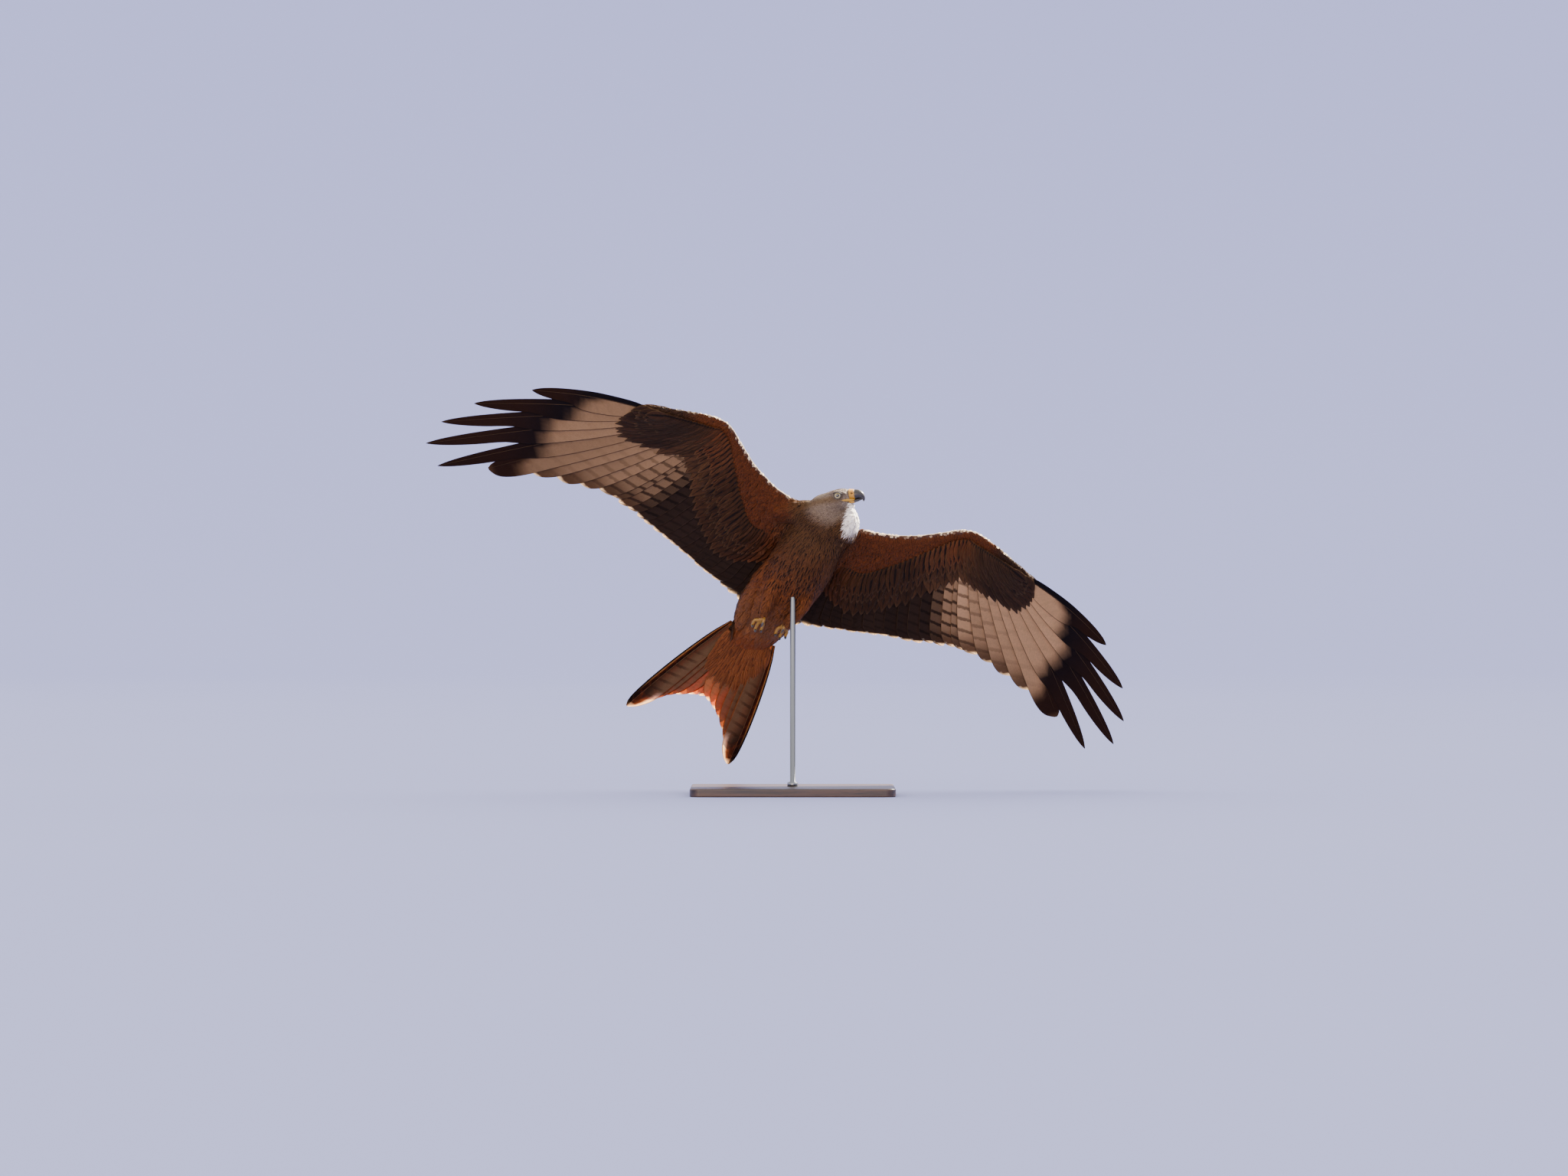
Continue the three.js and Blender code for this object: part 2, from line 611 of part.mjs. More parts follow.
addNode(bird, 'torso', torso(), 'rufous');
addNode(bird, 'neck', neckSolid(), 'pale');
addNode(head, 'head', headSolid(), 'pale');
addNode(head, 'cere', cereSolid(), 'yellow');
addNode(head, 'beak_upper', upperBill(), 'horn');
addNode(head, 'beak_lower', bodyLoft(LOWER_BILL_ROWS, 4, 10), 'horn');
for (const [name, side] of Object.entries(SIDES)) {
  addNode(head, `eye_${name}`, eyeSolid(side, EYE_RADIUS), 'iris');
  wingNodes(name, side);
  tailNode(name, side);
  addNode(bird, `leg_${name}`, thighSolid(side).subtract(trunkSolid(GAP)), 'rufous');
  addNode(bird, `foot_${name}`, footSolid(side), 'yellow');
  TOES.forEach((toe, i) => addNode(bird, `claw_${name}_${i + 1}`, clawSolid(side, toe), 'horn'));
}
addNode(model, 'stand_base', baseSolid(), 'paint');
addNode(model, 'stand_rod', rodSolid(), 'steel');

export default model;
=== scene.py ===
"""A red kite gliding on a bank, life size, as a still museum model on a plain display stand.

The bird is worked out in millimetres in its own frame (x to its right, y forward, z towards its
back) and is put into the room, in metres, as each mesh is made.
"""

import json
import math

import bpy
import numpy as np
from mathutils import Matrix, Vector
from mathutils.bvhtree import BVHTree

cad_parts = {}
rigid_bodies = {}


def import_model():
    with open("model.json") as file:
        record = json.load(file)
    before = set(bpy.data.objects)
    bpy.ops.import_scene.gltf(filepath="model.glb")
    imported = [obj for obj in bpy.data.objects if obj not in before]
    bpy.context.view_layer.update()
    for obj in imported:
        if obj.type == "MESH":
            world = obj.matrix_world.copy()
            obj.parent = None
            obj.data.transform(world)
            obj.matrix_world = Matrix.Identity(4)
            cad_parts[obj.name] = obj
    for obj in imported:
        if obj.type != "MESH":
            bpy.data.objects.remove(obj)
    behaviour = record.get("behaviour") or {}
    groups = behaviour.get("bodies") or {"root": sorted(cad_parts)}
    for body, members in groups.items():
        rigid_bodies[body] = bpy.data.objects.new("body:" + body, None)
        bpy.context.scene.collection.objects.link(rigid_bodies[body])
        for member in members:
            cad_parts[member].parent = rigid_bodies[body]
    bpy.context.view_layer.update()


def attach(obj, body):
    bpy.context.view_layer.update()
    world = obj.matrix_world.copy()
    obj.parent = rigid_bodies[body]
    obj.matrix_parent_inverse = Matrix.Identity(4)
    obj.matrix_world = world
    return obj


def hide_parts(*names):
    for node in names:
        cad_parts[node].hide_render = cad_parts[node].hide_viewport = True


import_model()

MM = 0.001
BODY = "root"
SIDES = {"right": 1, "left": -1}

# Attitude of the bird in the room and of the head, in degrees and millimetres
HEADING, CLIMB, BANK = -140.8, 45.3, -33.9
BODY_CENTRE = np.array([6.0, 32.0, 374.0])
HEAD_HEADING, HEAD_PITCH = -102.9, 8.7
HEAD_CENTRE = np.array([8.5, 152.0, 10.0])

# The photograph's frame: its size in pixels, millimetres per pixel at the bird, and the pixel of
# the body centre, seen by a level camera
IMAGE_SIZE = (2048, 1536)
MM_PER_PIXEL = 1.28
CENTRE_PIXEL = (1040, 745)
CAMERA_DISTANCE = 10.0
SENSOR_WIDTH = 36.0

# Flesh, as in the solids: rows of place, half width, top and bottom
TRUNK = np.array([
    [-150, 36, 19, -22], [-120, 43, 27, -33], [-80, 48, 34, -44], [-35, 53, 38, -54],
    [15, 55, 40, -58], [60, 51, 38, -50], [95, 44, 34, -38], [112, 41, 32, -34],
])
TAIL_STUMP = np.array([
    [-208, 27, 1.5, -6], [-190, 33, 6, -11], [-168, 36, 12.5, -17], [-140, 38, 20, -23],
])
SKULL = np.array([
    [-37, 4, -3, -8], [-33, 13, 3, -13], [-24, 20, 9, -20], [-9, 24, 13.5, -24],
    [6, 23.5, 16, -23], [16, 20.5, 16.6, -20], [25, 14.5, 15, -16], [30, 10.5, 13.2, -13],
])
# Throat feathers held full below the bill, in the head's frame, and the shoulder's fill
THROAT_LINE = [[0, 25, -9], [0, 28, -20], [0, 25, -34], [0, 18, -48], [0, 4, -66]]
THROAT_RADII = [6, 10, 14.5, 18, 20]
SHOULDER_LINES = [
    [[84, 84, 6], [58, 104, 9], [36, 114, 13], [14, 119, 16]],
    [[84, 66, 17], [62, 86, 12], [42, 100, 6], [20, 106, 4]],
]
SHOULDER_RADII = [7, 11, 14, 12]
# Loose flank feathers held out on the lower side of the bank
FLANK_LINE = [[38, 25, -16], [45, -25, -12], [44, -75, -9], [38, -120, -8], [28, -150, -6]]
FLANK_RADII = [8, 13, 15, 13, 8]
# Neck: points of its line, and rows of share of the way, half width, half height
NECK_LINE = np.array([[0, 96, -1], [1, 112, -1], [5, 132, 4], HEAD_CENTRE])
NECK = np.array([[0, 43, 35], [0.3, 44, 35], [0.6, 42.5, 32], [0.85, 37, 27], [1, 27, 21]])
# Wing flesh: rows of x, leading edge, rear, height and half thickness
WING_FLESH = np.array([
    [30, 100, 28, 17, 13], [60, 118, 2, 19, 13], [105, 127, -14, 22, 11.5],
    [148, 145, 26, 25, 10.5], [188, 172, 78, 28, 9.5], [216, 192, 116, 29.5, 9],
    [240, 197, 132, 30, 8.5], [275, 190, 130, 30.5, 7.5], [330, 171, 128, 31.5, 6],
    [366, 158, 134, 32, 3],
])
# How far the flesh of each part lies under the plumage
TRUNK_INSET, NECK_INSET, STUMP_INSET, WING_INSET, SKULL_INSET = 4.5, 4.0, 1.5, 2.2, 1.0
THIGH_INSETS = (5, 5, 3, 2)
# Voxels in which the skin and the feet are fused, and the skin's tone under the plumage
SKIN_VOXEL, FOOT_VOXEL = 1.8, 0.8
SKIN_TONE = 0.75
# Feathered pad of the right brow, in the head's frame
BROW_PAD = [[15.5, -2, 10], [20.2, 7, 11.2], [19.2, 16, 10.2], [12.8, 26, 6.8]]
BROW_PAD_RADII = [1.6, 3.5, 3.3, 1.4]
# Rise of the hand's feathers for each millimetre past the flesh
FINGER_RISE = 0.018
# How far the upper end of the neck is moved towards the throat
NAPE_SHIFT = np.array([-2.5, 0, -3.0])
# The right thigh: its line and radii
THIGH_LINE = np.array([[30, -8, -40], [27, -42, -53], [21, -76, -56]])
THIGH_RADII = np.array([14, 15, 11, 6.5])

# Flight feathers of the right wing, outward from the wrist and inward from it: tips, roots, how
# deep the roots lie in the flesh, the vanes' tilt at root and tip in degrees, and their widths
PRIMARY_TIPS = np.array([
    [354, -30], [390, -33], [428, -42], [472, -51], [536, -84],
    [611, -121], [648, -90], [641, -38], [609, 22], [538, 91],
])
PRIMARY_ROOTS = np.array([[247, 162], [350, 152]])
SECONDARY_TIPS = np.array([[331, -32], [54, -113]])
SECONDARY_ROOT_X = [240, 52]
FIRST_PRIMARY = 16
FIRST_FINGER = FIRST_PRIMARY + 5
ROOT_DEPTH = 32
VANE_TILT = (8, 3.5)
SECONDARY_WIDTH, PRIMARY_WIDTH, FINGER_WIDTH = 37.0, 46.0, 48.0

# Tail: its root, its turn and roll against the trunk, roots and tips as across and back, the width
# of a feather, and how far the innermost feathers lie above the outermost
TAIL_ROOT = np.array([6, -138, -4])
TAIL_TURN, TAIL_ROLL = 4, 6
TAIL_TIPS = np.array([[11, 177], [30, 185], [49, 197], [68, 214], [86, 238], [101, 268.0]])
TAIL_ROOTS = np.array([[4, 14], [40, 12]])
TAIL_WIDTH = 42.0
TAIL_STACK = 4.0
TAIL_LEAN = math.tan(math.radians(TAIL_TURN))


def row_at(rows, places):
    """Every column of a table of rows at many places, on a smooth curve through the rows."""
    rows = np.asarray(rows, float)
    places = np.atleast_1d(np.asarray(places, float))
    keys = rows[:, 0]
    i = np.clip(np.searchsorted(keys, places), 1, len(keys) - 1)
    before, after = rows[np.maximum(i - 2, 0)], rows[np.minimum(i + 1, len(keys) - 1)]
    a, b = rows[i - 1], rows[i]
    span = (b[:, :1] - a[:, :1])
    u = (places[:, None] - a[:, :1]) / span
    leaving = (b - before) / (b[:, :1] - before[:, :1]) * span
    arriving = (after - a) / (after[:, :1] - a[:, :1]) * span
    value = (2 * u**3 - 3 * u**2 + 1) * a + (u**3 - 2 * u**2 + u) * leaving
    return value + (3 * u**2 - 2 * u**3) * b + (u**3 - u**2) * arriving


def smooth(low, high, value):
    """0 below low, 1 above high and a soft step between them."""
    t = np.clip((np.asarray(value, float) - low) / (high - low), 0, 1)
    return t * t * (3 - 2 * t)


def unit(vectors):
    """Vectors divided by their own length."""
    return vectors / np.maximum(np.linalg.norm(vectors, axis=-1, keepdims=True), 1e-9)


def part_way(first, second, share):
    """The value at a share of the way from the first to the second."""
    return first + (second - first) * share


def bell(places, middle, spread):
    """Bell curve: e to the power of minus the sum of squared distances from the middle, each
    counted in its spread."""
    return np.exp(-(((places - np.array(middle)) / spread) ** 2).sum(-1))


def circle(around):
    """Angles spread evenly round a full turn."""
    return np.linspace(0, 2 * math.pi, around, endpoint=False)


def turn(axis, degrees):
    """Matrix of a turn about x, y or z."""
    c, s = math.cos(math.radians(degrees)), math.sin(math.radians(degrees))
    if axis == "x":
        return np.array([[1, 0, 0], [0, c, -s], [0, s, c]])
    if axis == "y":
        return np.array([[c, 0, s], [0, 1, 0], [-s, 0, c]])
    return np.array([[c, -s, 0], [s, c, 0], [0, 0, 1]])


BIRD_TURN = turn("z", HEADING) @ turn("x", CLIMB) @ turn("y", BANK)
HEAD_TURN = BIRD_TURN.T @ turn("z", HEAD_HEADING) @ turn("x", HEAD_PITCH)
TAIL_FRAME = turn("z", TAIL_TURN) @ turn("y", -TAIL_ROLL)


def in_room(points):
    """Metres in the room, from millimetres in the bird's frame."""
    return (points @ BIRD_TURN.T + BODY_CENTRE) * MM


def in_bird(points):
    """Millimetres in the bird's frame, from metres in the room."""
    return (points / MM - BODY_CENTRE) @ BIRD_TURN


def from_head(points):
    """Points in the bird's frame, from the head's frame: turned, then moved to its centre."""
    return points @ HEAD_TURN.T + HEAD_CENTRE


def to_head(points):
    """Points in the head's frame, from the bird's frame."""
    return (points - HEAD_CENTRE) @ HEAD_TURN


def off_head(points):
    """Distance of each point from the head's centre."""
    return np.linalg.norm(points - HEAD_CENTRE, axis=1)


def on_right(points):
    """Points mirrored onto the right side, by the size of x."""
    return np.concatenate([np.abs(points[..., :1]), points[..., 1:]], -1)


def colour(code):
    """Linear red, green and blue of a colour written as six hexadecimal digits."""
    value = np.array([int(code[i:i + 2], 16) for i in (0, 2, 4)]) / 255
    return np.where(value <= 0.04045, value / 12.92, ((value + 0.055) / 1.055) ** 2.4)


def colour4(code):
    """The same colour as a node's socket takes it, opaque."""
    return (*colour(code), 1)


def blend(first, second, share):
    """Colours between two colours, by a share for each point."""
    return part_way(first, second, np.asarray(share)[..., None])


def layered(ground, *coats):
    """Colours laid over a ground in turn, each by its share."""
    for tint, share in coats:
        ground = blend(ground, tint, share)
    return ground


def placed(name, data):
    """New object of the scene for a mesh, a lamp or a camera."""
    thing = bpy.data.objects.new(name, data)
    bpy.context.scene.collection.objects.link(thing)
    return thing


def paint(mesh, layer, colours):
    """Writes a colour for each point of a mesh under a layer's name."""
    rgba = np.ones((len(colours), 4), np.float32)
    rgba[:, :3] = colours
    mesh.attributes.new(layer, "FLOAT_COLOR", "POINT").data.foreach_set("color", rgba.ravel())


def make_mesh(name, points, faces, layers=None, maps=None, smooth_faces=True):
    """Mesh object from points in metres and lists of equal-sided faces.

    Layers are colours and maps are UV maps, each with a value for every point.
    """
    mesh = bpy.data.meshes.new(name)
    corners = np.concatenate([f.ravel() for f in faces])
    sizes = np.concatenate([np.full(len(f), f.shape[1]) for f in faces])
    mesh.vertices.add(len(points))
    mesh.vertices.foreach_set("co", np.asarray(points, np.float32).ravel())
    mesh.loops.add(len(corners))
    mesh.loops.foreach_set("vertex_index", corners.astype(np.int32))
    mesh.polygons.add(len(sizes))
    starts = np.concatenate([[0], np.cumsum(sizes)[:-1]])
    mesh.polygons.foreach_set("loop_start", starts.astype(np.int32))
    mesh.polygons.foreach_set("use_smooth", np.full(len(sizes), smooth_faces))
    for layer, colours in (layers or {}).items():
        paint(mesh, layer, colours)
    for layer, places in (maps or {}).items():
        uv = mesh.uv_layers.new(name=layer)
        uv.uv.foreach_set("vector", np.asarray(places, np.float32)[corners].ravel())
    mesh.update(calc_edges=True)
    mesh.validate()
    return placed(name, mesh)


def place_piece(piece, material, slot, *nodes):
    """Gives a finished piece its material and its body, and hides the nodes that it stands for; the slot
    is not used.
    """
    piece.data.materials.clear()
    piece.data.materials.append(material)
    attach(piece, BODY)
    if nodes:
        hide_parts(*nodes)
    return piece


def ring_faces(rings, around):
    """Quads between neighbouring rings of a closed tube, outward for counterclockwise rings."""
    i, k = np.meshgrid(np.arange(rings - 1), np.arange(around), indexing="ij")
    a = i * around + k
    b = i * around + (k + 1) % around
    return np.stack([a, b, b + around, a + around], -1).reshape(-1, 4)


def enclosed(points, faces):
    """Six times the volume between faces and the origin, negative for faces that look inward.

    Each face is fanned into triangles, and a triangle adds the dot product of its first corner
    with the cross product of the other two.
    """
    corners = points[faces]
    return sum(
        np.einsum("ij,ij->", corners[:, 0], np.cross(corners[:, k], corners[:, k + 1]))
        for k in range(1, faces.shape[1] - 1)
    )


def closed_tube(rings):
    """Points and faces of a tube through rings of points, each end closed by a fan to its middle.

    The faces are turned outward by the sign of the enclosed volume.
    """
    count, around = rings.shape[:2]
    points = np.concatenate([rings.reshape(-1, 3), rings[:1].mean(1), rings[-1:].mean(1)])
    quads = ring_faces(count, around)
    k = np.arange(around)
    first = np.stack([(k + 1) % around, k, np.full(around, count * around)], -1)
    base = (count - 1) * around
    last = np.stack([base + k, base + (k + 1) % around, np.full(around, count * around + 1)], -1)
    fans = np.concatenate([first, last])
    if enclosed(points, quads) + enclosed(points, fans) < 0:
        quads, fans = quads[:, ::-1], fans[:, ::-1]
    return points, quads, fans


def body_rings(rows, steps, around, inset=0.0, shift=None):
    """Oval sections along y: half width, top and bottom come from the rows, less the inset."""
    y = np.linspace(rows[0][0], rows[-1][0], steps)
    _, half, top, bottom = row_at(rows, y).T[..., None]
    angle = circle(around)
    x = np.maximum(half - inset, 1) * np.cos(angle)
    z = (top + bottom) / 2 + np.maximum((top - bottom) / 2 - inset, 1) * np.sin(angle)
    rings = np.stack([x, np.broadcast_to(y[:, None], x.shape), z], -1)
    return rings if shift is None else rings + shift(y)[:, None]


def curve_through(points, steps):
    """Smooth line through a few points, as the weighted blend of each four neighbours."""
    points = np.asarray(points, float)
    padded = np.concatenate([[2 * points[0] - points[1]], points, [2 * points[-1] - points[-2]]])
    place = np.linspace(0, len(points) - 1, steps)
    i = np.minimum(place.astype(int), len(points) - 2)
    t = (place - i)[:, None]
    a, b, c, d = (padded[i + k] for k in range(4))
    return b + 0.5 * t * (c - a + t * (2 * a - 5 * b + 4 * c - d + t * (3 * (b - c) + d - a)))


def tube_rings(line, radii, around, flatness=1.0):
    """Round or flattened sections across a line, with radii spread evenly along it."""
    along = unit(np.gradient(line, axis=0))
    side = unit(np.cross(along, (0.0, 0.0, 1.0)))
    up = np.cross(side, along)
    share = np.linspace(0, 1, len(line))
    radius = np.interp(share, np.linspace(0, 1, len(radii)), radii)[:, None, None]
    angle = circle(around)[None, :, None]
    return (line[:, None] + radius * np.cos(angle) * side[:, None]
            + radius * flatness * np.sin(angle) * up[:, None])


def soft_tube(line, steps, radii, around, side=1, flatness=1.0):
    """Closed tube round a smooth line through a few points, mirrored by the side."""
    curve = curve_through(np.array(line) * (side, 1, 1), steps)
    return closed_tube(tube_rings(curve, radii, around, flatness))


def wing_rings(side, steps, around, inset):
    """Sections of wing flesh along x: an oval, thick in front and thin behind."""
    x = np.linspace(WING_FLESH[0][0], WING_FLESH[-1][0], steps)
    _, lead, rear, height, half = row_at(WING_FLESH, x).T[:, :, None]
    angle = circle(around)
    back = (1 - np.cos(angle)) / 2
    fullness = np.sin(angle) * (1 - 0.5 * back)
    y = (lead - inset) + (rear - lead + 2 * inset) * back
    z = height + fullness * np.maximum(half - inset, 1)
    return np.stack([np.broadcast_to(side * x[:, None], y.shape), y, z], -1)


def joined(parts):
    """One list of points and faces from several closed tubes."""
    points, quads, fans, count = [], [], [], 0
    for part_points, part_quads, part_fans in parts:
        points.append(part_points)
        quads.append(part_quads + count)
        fans.append(part_fans + count)
        count += len(part_points)
    return np.concatenate(points), np.concatenate(quads), np.concatenate(fans)


def relaxed(points, edges, weights, rounds):
    """Points moved towards the mean of their neighbours, by half the weight in each round."""
    count = np.bincount(edges.ravel(), minlength=len(points))[:, None]
    for _ in range(rounds):
        total = np.stack([
            np.bincount(edges[:, 0], points[edges[:, 1], k], len(points))
            + np.bincount(edges[:, 1], points[edges[:, 0], k], len(points)) for k in range(3)
        ], -1)
        points = points + (total / np.maximum(count, 1) - points) * weights[:, None] * 0.5
    return points


def fused(name, parts, voxel, rounds):
    """One closed, smoothed surface round several closed tubes, as a mesh object in the room."""
    points, quads, fans = joined(parts)
    rough = make_mesh(name + "_rough", in_room(points), [quads, fans])
    remesh = rough.modifiers.new("fuse", "REMESH")
    remesh.mode = "VOXEL"
    remesh.voxel_size = voxel * MM
    relax = rough.modifiers.new("relax", "SMOOTH")
    relax.factor = 0.5
    relax.iterations = rounds
    graph = bpy.context.evaluated_depsgraph_get()
    mesh = bpy.data.meshes.new_from_object(rough.evaluated_get(graph))
    bpy.data.objects.remove(rough)
    mesh.polygons.foreach_set("use_smooth", np.ones(len(mesh.polygons), bool))
    return placed(name, mesh)


def vertex_values(mesh, what):
    """Places ("co") or normals ("normal") of a mesh's vertices, as one array."""
    values = np.empty(len(mesh.vertices) * 3, np.float32)
    mesh.vertices.foreach_get(what, values)
    return values.reshape(-1, 3).astype(float)


def wing_height(x):
    """Height of the wing's plane: the flesh's own, then a steady rise past its end."""
    last = WING_FLESH[-1][0]
    return row_at(WING_FLESH, np.minimum(x, last))[:, 3] + np.maximum(x - last, 0) * FINGER_RISE


def flight_rays():
    """Roots and tips of the right wing's flight feathers, from the innermost secondary outward.

    Those of the secondaries and the primaries' roots are spread evenly on straight lines.
    """
    share = np.linspace(1, 0, FIRST_PRIMARY)
    root_x = part_way(*SECONDARY_ROOT_X, share)
    root_y = row_at(WING_FLESH, root_x)[:, 2] + ROOT_DEPTH
    hand_roots = part_way(*PRIMARY_ROOTS, np.linspace(0, 1, len(PRIMARY_TIPS))[:, None])
    flat_roots = np.concatenate([np.stack([root_x, root_y], -1), hand_roots])
    flat_tips = np.concatenate([part_way(*SECONDARY_TIPS, share[:, None]), PRIMARY_TIPS])
    return tuple(np.column_stack([flat, wing_height(flat[:, 0])]) for flat in (flat_roots, flat_tips))


RAY_ROOTS, RAY_TIPS = flight_rays()


def rays(places):
    """Roots and tips at places in the row of flight feathers, which may lie between two of them."""
    index = np.arange(len(RAY_ROOTS))
    return tuple(
        np.stack([np.interp(places, index, table[:, k]) for k in range(3)], -1)
        for table in (RAY_ROOTS, RAY_TIPS)
    )

# Colours of body and head
RUFOUS = colour("6b3a1a")
BUFF = colour("6e4223")
BREAST = colour("54321a")
VENT = colour("6e3614")
BACK_BROWN = colour("3c2518")
NECK_BUFF = colour("54381f")
HEAD_PALE = colour("786247")
CROWN_PALE = colour("a09180")
# Pale throat, painted near white as painted sunlight on its front
THROAT_PALE_AND_PAINTED_SUN = colour("fff8ec")
LORE = colour("3c342d")
HEAD_STREAK = colour("3a2a1e")
BELLY_STREAK = colour("3c1f0e")
STREAK_DARK = colour("150c07")
# Colours of the wings' coverts
CHESTNUT = colour("552a10")
MEDIAN_BROWN = colour("36200f")
COVERT_GREY = colour("52361f")
PRIMARY_COVERT = colour("2f1d11")
DARK_BROWN = colour("291a11")
PALE_BAND = colour("634527")
BRIM_AND_PAINTED_HIGHLIGHT = colour("f0d9b2")
# Colours of the flight feathers: fingers, their warmer roots, secondaries, window and tips below,
# the same above, the pale hem, partly painted backlit glow, the bars in the window, and the shafts of
# primaries and secondaries
FINGER, FINGER_WARM, SECONDARY = colour("1a1417"), colour("44260f"), colour("3a2a20")
WINDOW, DUSKY_TIP = colour("ac8660"), colour("4a2f1b")
PRIMARY_TOP, SECONDARY_TOP = colour("18110d"), colour("291b13")
HEM_AND_PAINTED_GLOW = colour("fbe3ba")
WINDOW_BAR = colour("3a281c")
PRIMARY_SHAFT, SECONDARY_SHAFT = colour("5a4634"), colour("3a2c22")
# Colours of the tail: below in the middle, at the sides, on the outermost inner web, in the corner,
# on its outer web and on the thin line there, then the pale ends, partly painted backlit glow, and the
# same above
TAIL_GLOW, TAIL_UNDER, TAIL_SMOKY = colour("eaa266"), colour("987552"), colour("5c3f26")
CORNER_DARK, OUTER_WEB, WEB_LINE = colour("20140e"), colour("150e0a"), colour("c79a5a")
TAIL_END_PAINTED_GLOW = colour("fff0cc")
TAIL_TOP, CORNER_TOP, OUTER_WEB_TOP = colour("b2622c"), colour("5b3620"), colour("22160f")
TAIL_END_TOP_PAINTED_GLOW = colour("f4dcae")
TAIL_BAR, TAIL_BAR_TOP, TAIL_SHAFT = colour("4a3422"), colour("6a3517"), colour("8a6a4a")
UNDERTAIL, UPPERTAIL = colour("713d1b"), colour("8f5026")

# Slanting rear edge of the chestnut coverts below the wing: places along the wing and their y
CHESTNUT_EDGE = ([70, 147, 208, 262, 300, 366], [22, 78, 136, 174, 196, 215])


def body_colours(points, normals):
    """Ground colour, streak colour and streak width of trunk, neck, head and legs, by place."""
    back = smooth(-0.1, 0.45, normals[:, 2])
    y, far, inward = points[:, 1], off_head(points), to_head(points)
    ahead, above = inward[:, 1], inward[:, 2]
    neck, head = 1 - smooth(58, 105, far), 1 - smooth(22, 50, far)
    crown = head * np.maximum(smooth(1, 9, above), smooth(16, 24, ahead))
    chin = 0.15 * smooth(48, 30, far) * smooth(0, -10, above)
    # Front strip of the throat: a real pale throat, painted near white as a painted sunlit highlight
    throat = smooth(-7, -13, above) * smooth(33, 39, ahead - 0.28 * above) * smooth(68, 52, far)
    lore = bell(on_right(inward), (17, 14, 5), (8, 9, 6))
    ground = layered(
        BUFF, (RUFOUS, smooth(-70, 0, y)), (BREAST, smooth(5, 70, y)), (VENT, smooth(-95, -140, y)),
        (BACK_BROWN, back), (NECK_BUFF, neck), (HEAD_PALE, head), (CROWN_PALE, 0.8 * crown),
        (blend(HEAD_PALE, THROAT_PALE_AND_PAINTED_SUN, 0.6), chin), (THROAT_PALE_AND_PAINTED_SUN, throat), (LORE, 0.85 * lore),
    )
    dark = np.maximum(smooth(-60, 20, y), back)
    streak = layered(BELLY_STREAK, (STREAK_DARK, dark), (HEAD_STREAK, head))
    width = (0.12 + 0.28 * smooth(-50, 40, y) + 0.2 * back) * (1 - 0.6 * smooth(-70, -120, y))
    width = part_way(part_way(width, 0.4, neck), 0.3, head)
    return ground, streak, width * (1 - 0.75 * throat)


def under_wing(x, y):
    """Coverts below the wing: chestnut in front of a slanting line and near the body, dark brown
    behind it, olive at the wrist and darkest on the hand."""
    edge = np.interp(x, *CHESTNUT_EDGE)
    front = np.maximum(smooth(-30, 14, y - edge), 0.55 * smooth(120, 62, x))
    olive = bell(np.stack([x, y], -1), (245, 104), (46, 42))
    on_hand = smooth(252, 300, x) * (1 - 0.5 * olive)
    return layered(
        MEDIAN_BROWN, (CHESTNUT, front), (COVERT_GREY, 0.75 * olive), (PRIMARY_COVERT, on_hand),
    )


def behind_lead(x, y):
    """How far places lie behind the wing's leading edge."""
    return row_at(WING_FLESH, np.clip(x, WING_FLESH[0][0], WING_FLESH[-1][0]))[:, 1] - y


def wing_colours(points, normals):
    """Colours of the wing's flesh: below, above, and a pale brim on the leading edge, a real pale fringe
    brightened as a painted highlight.
    """
    x, y = np.abs(points[:, 0]), points[:, 1]
    behind, facing = behind_lead(x, y), normals[:, 2]
    in_front, on_hand = smooth(55, 25, behind), smooth(240, 290, x)
    over = layered(PALE_BAND, (RUFOUS * 0.8, in_front), (DARK_BROWN * 1.3, on_hand))
    top = smooth(-0.05, 0.3, facing)
    # Brim on the leading edge's front face: a real pale fringe, painted brighter as a painted sunlit
    # highlight
    brim = smooth(8, 5, behind) * smooth(60, 75, x) * smooth(330, 290, x)
    brim = brim * smooth(-0.55, -0.25, facing) * smooth(0.75, 0.35, facing)
    ground = layered(under_wing(x, y), (over, top), (BRIM_AND_PAINTED_HIGHLIGHT, 0.8 * brim))
    return ground, np.broadcast_to(STREAK_DARK, ground.shape), (0.14 + 0.16 * top) * (1 - brim)


def plumage(points, normals):
    """Body colours and wing colours, blended over the shoulder."""
    x = np.abs(points[:, 0])
    wing = smooth(44, 70, x) * smooth(-22, -10, points[:, 2])
    wing = np.maximum(wing, smooth(60, 75, x))
    body, flesh = body_colours(points, normals), wing_colours(points, normals)
    ground, streak = (blend(body[k], flesh[k], wing) for k in range(2))
    return ground, streak, part_way(body[2], flesh[2], wing)


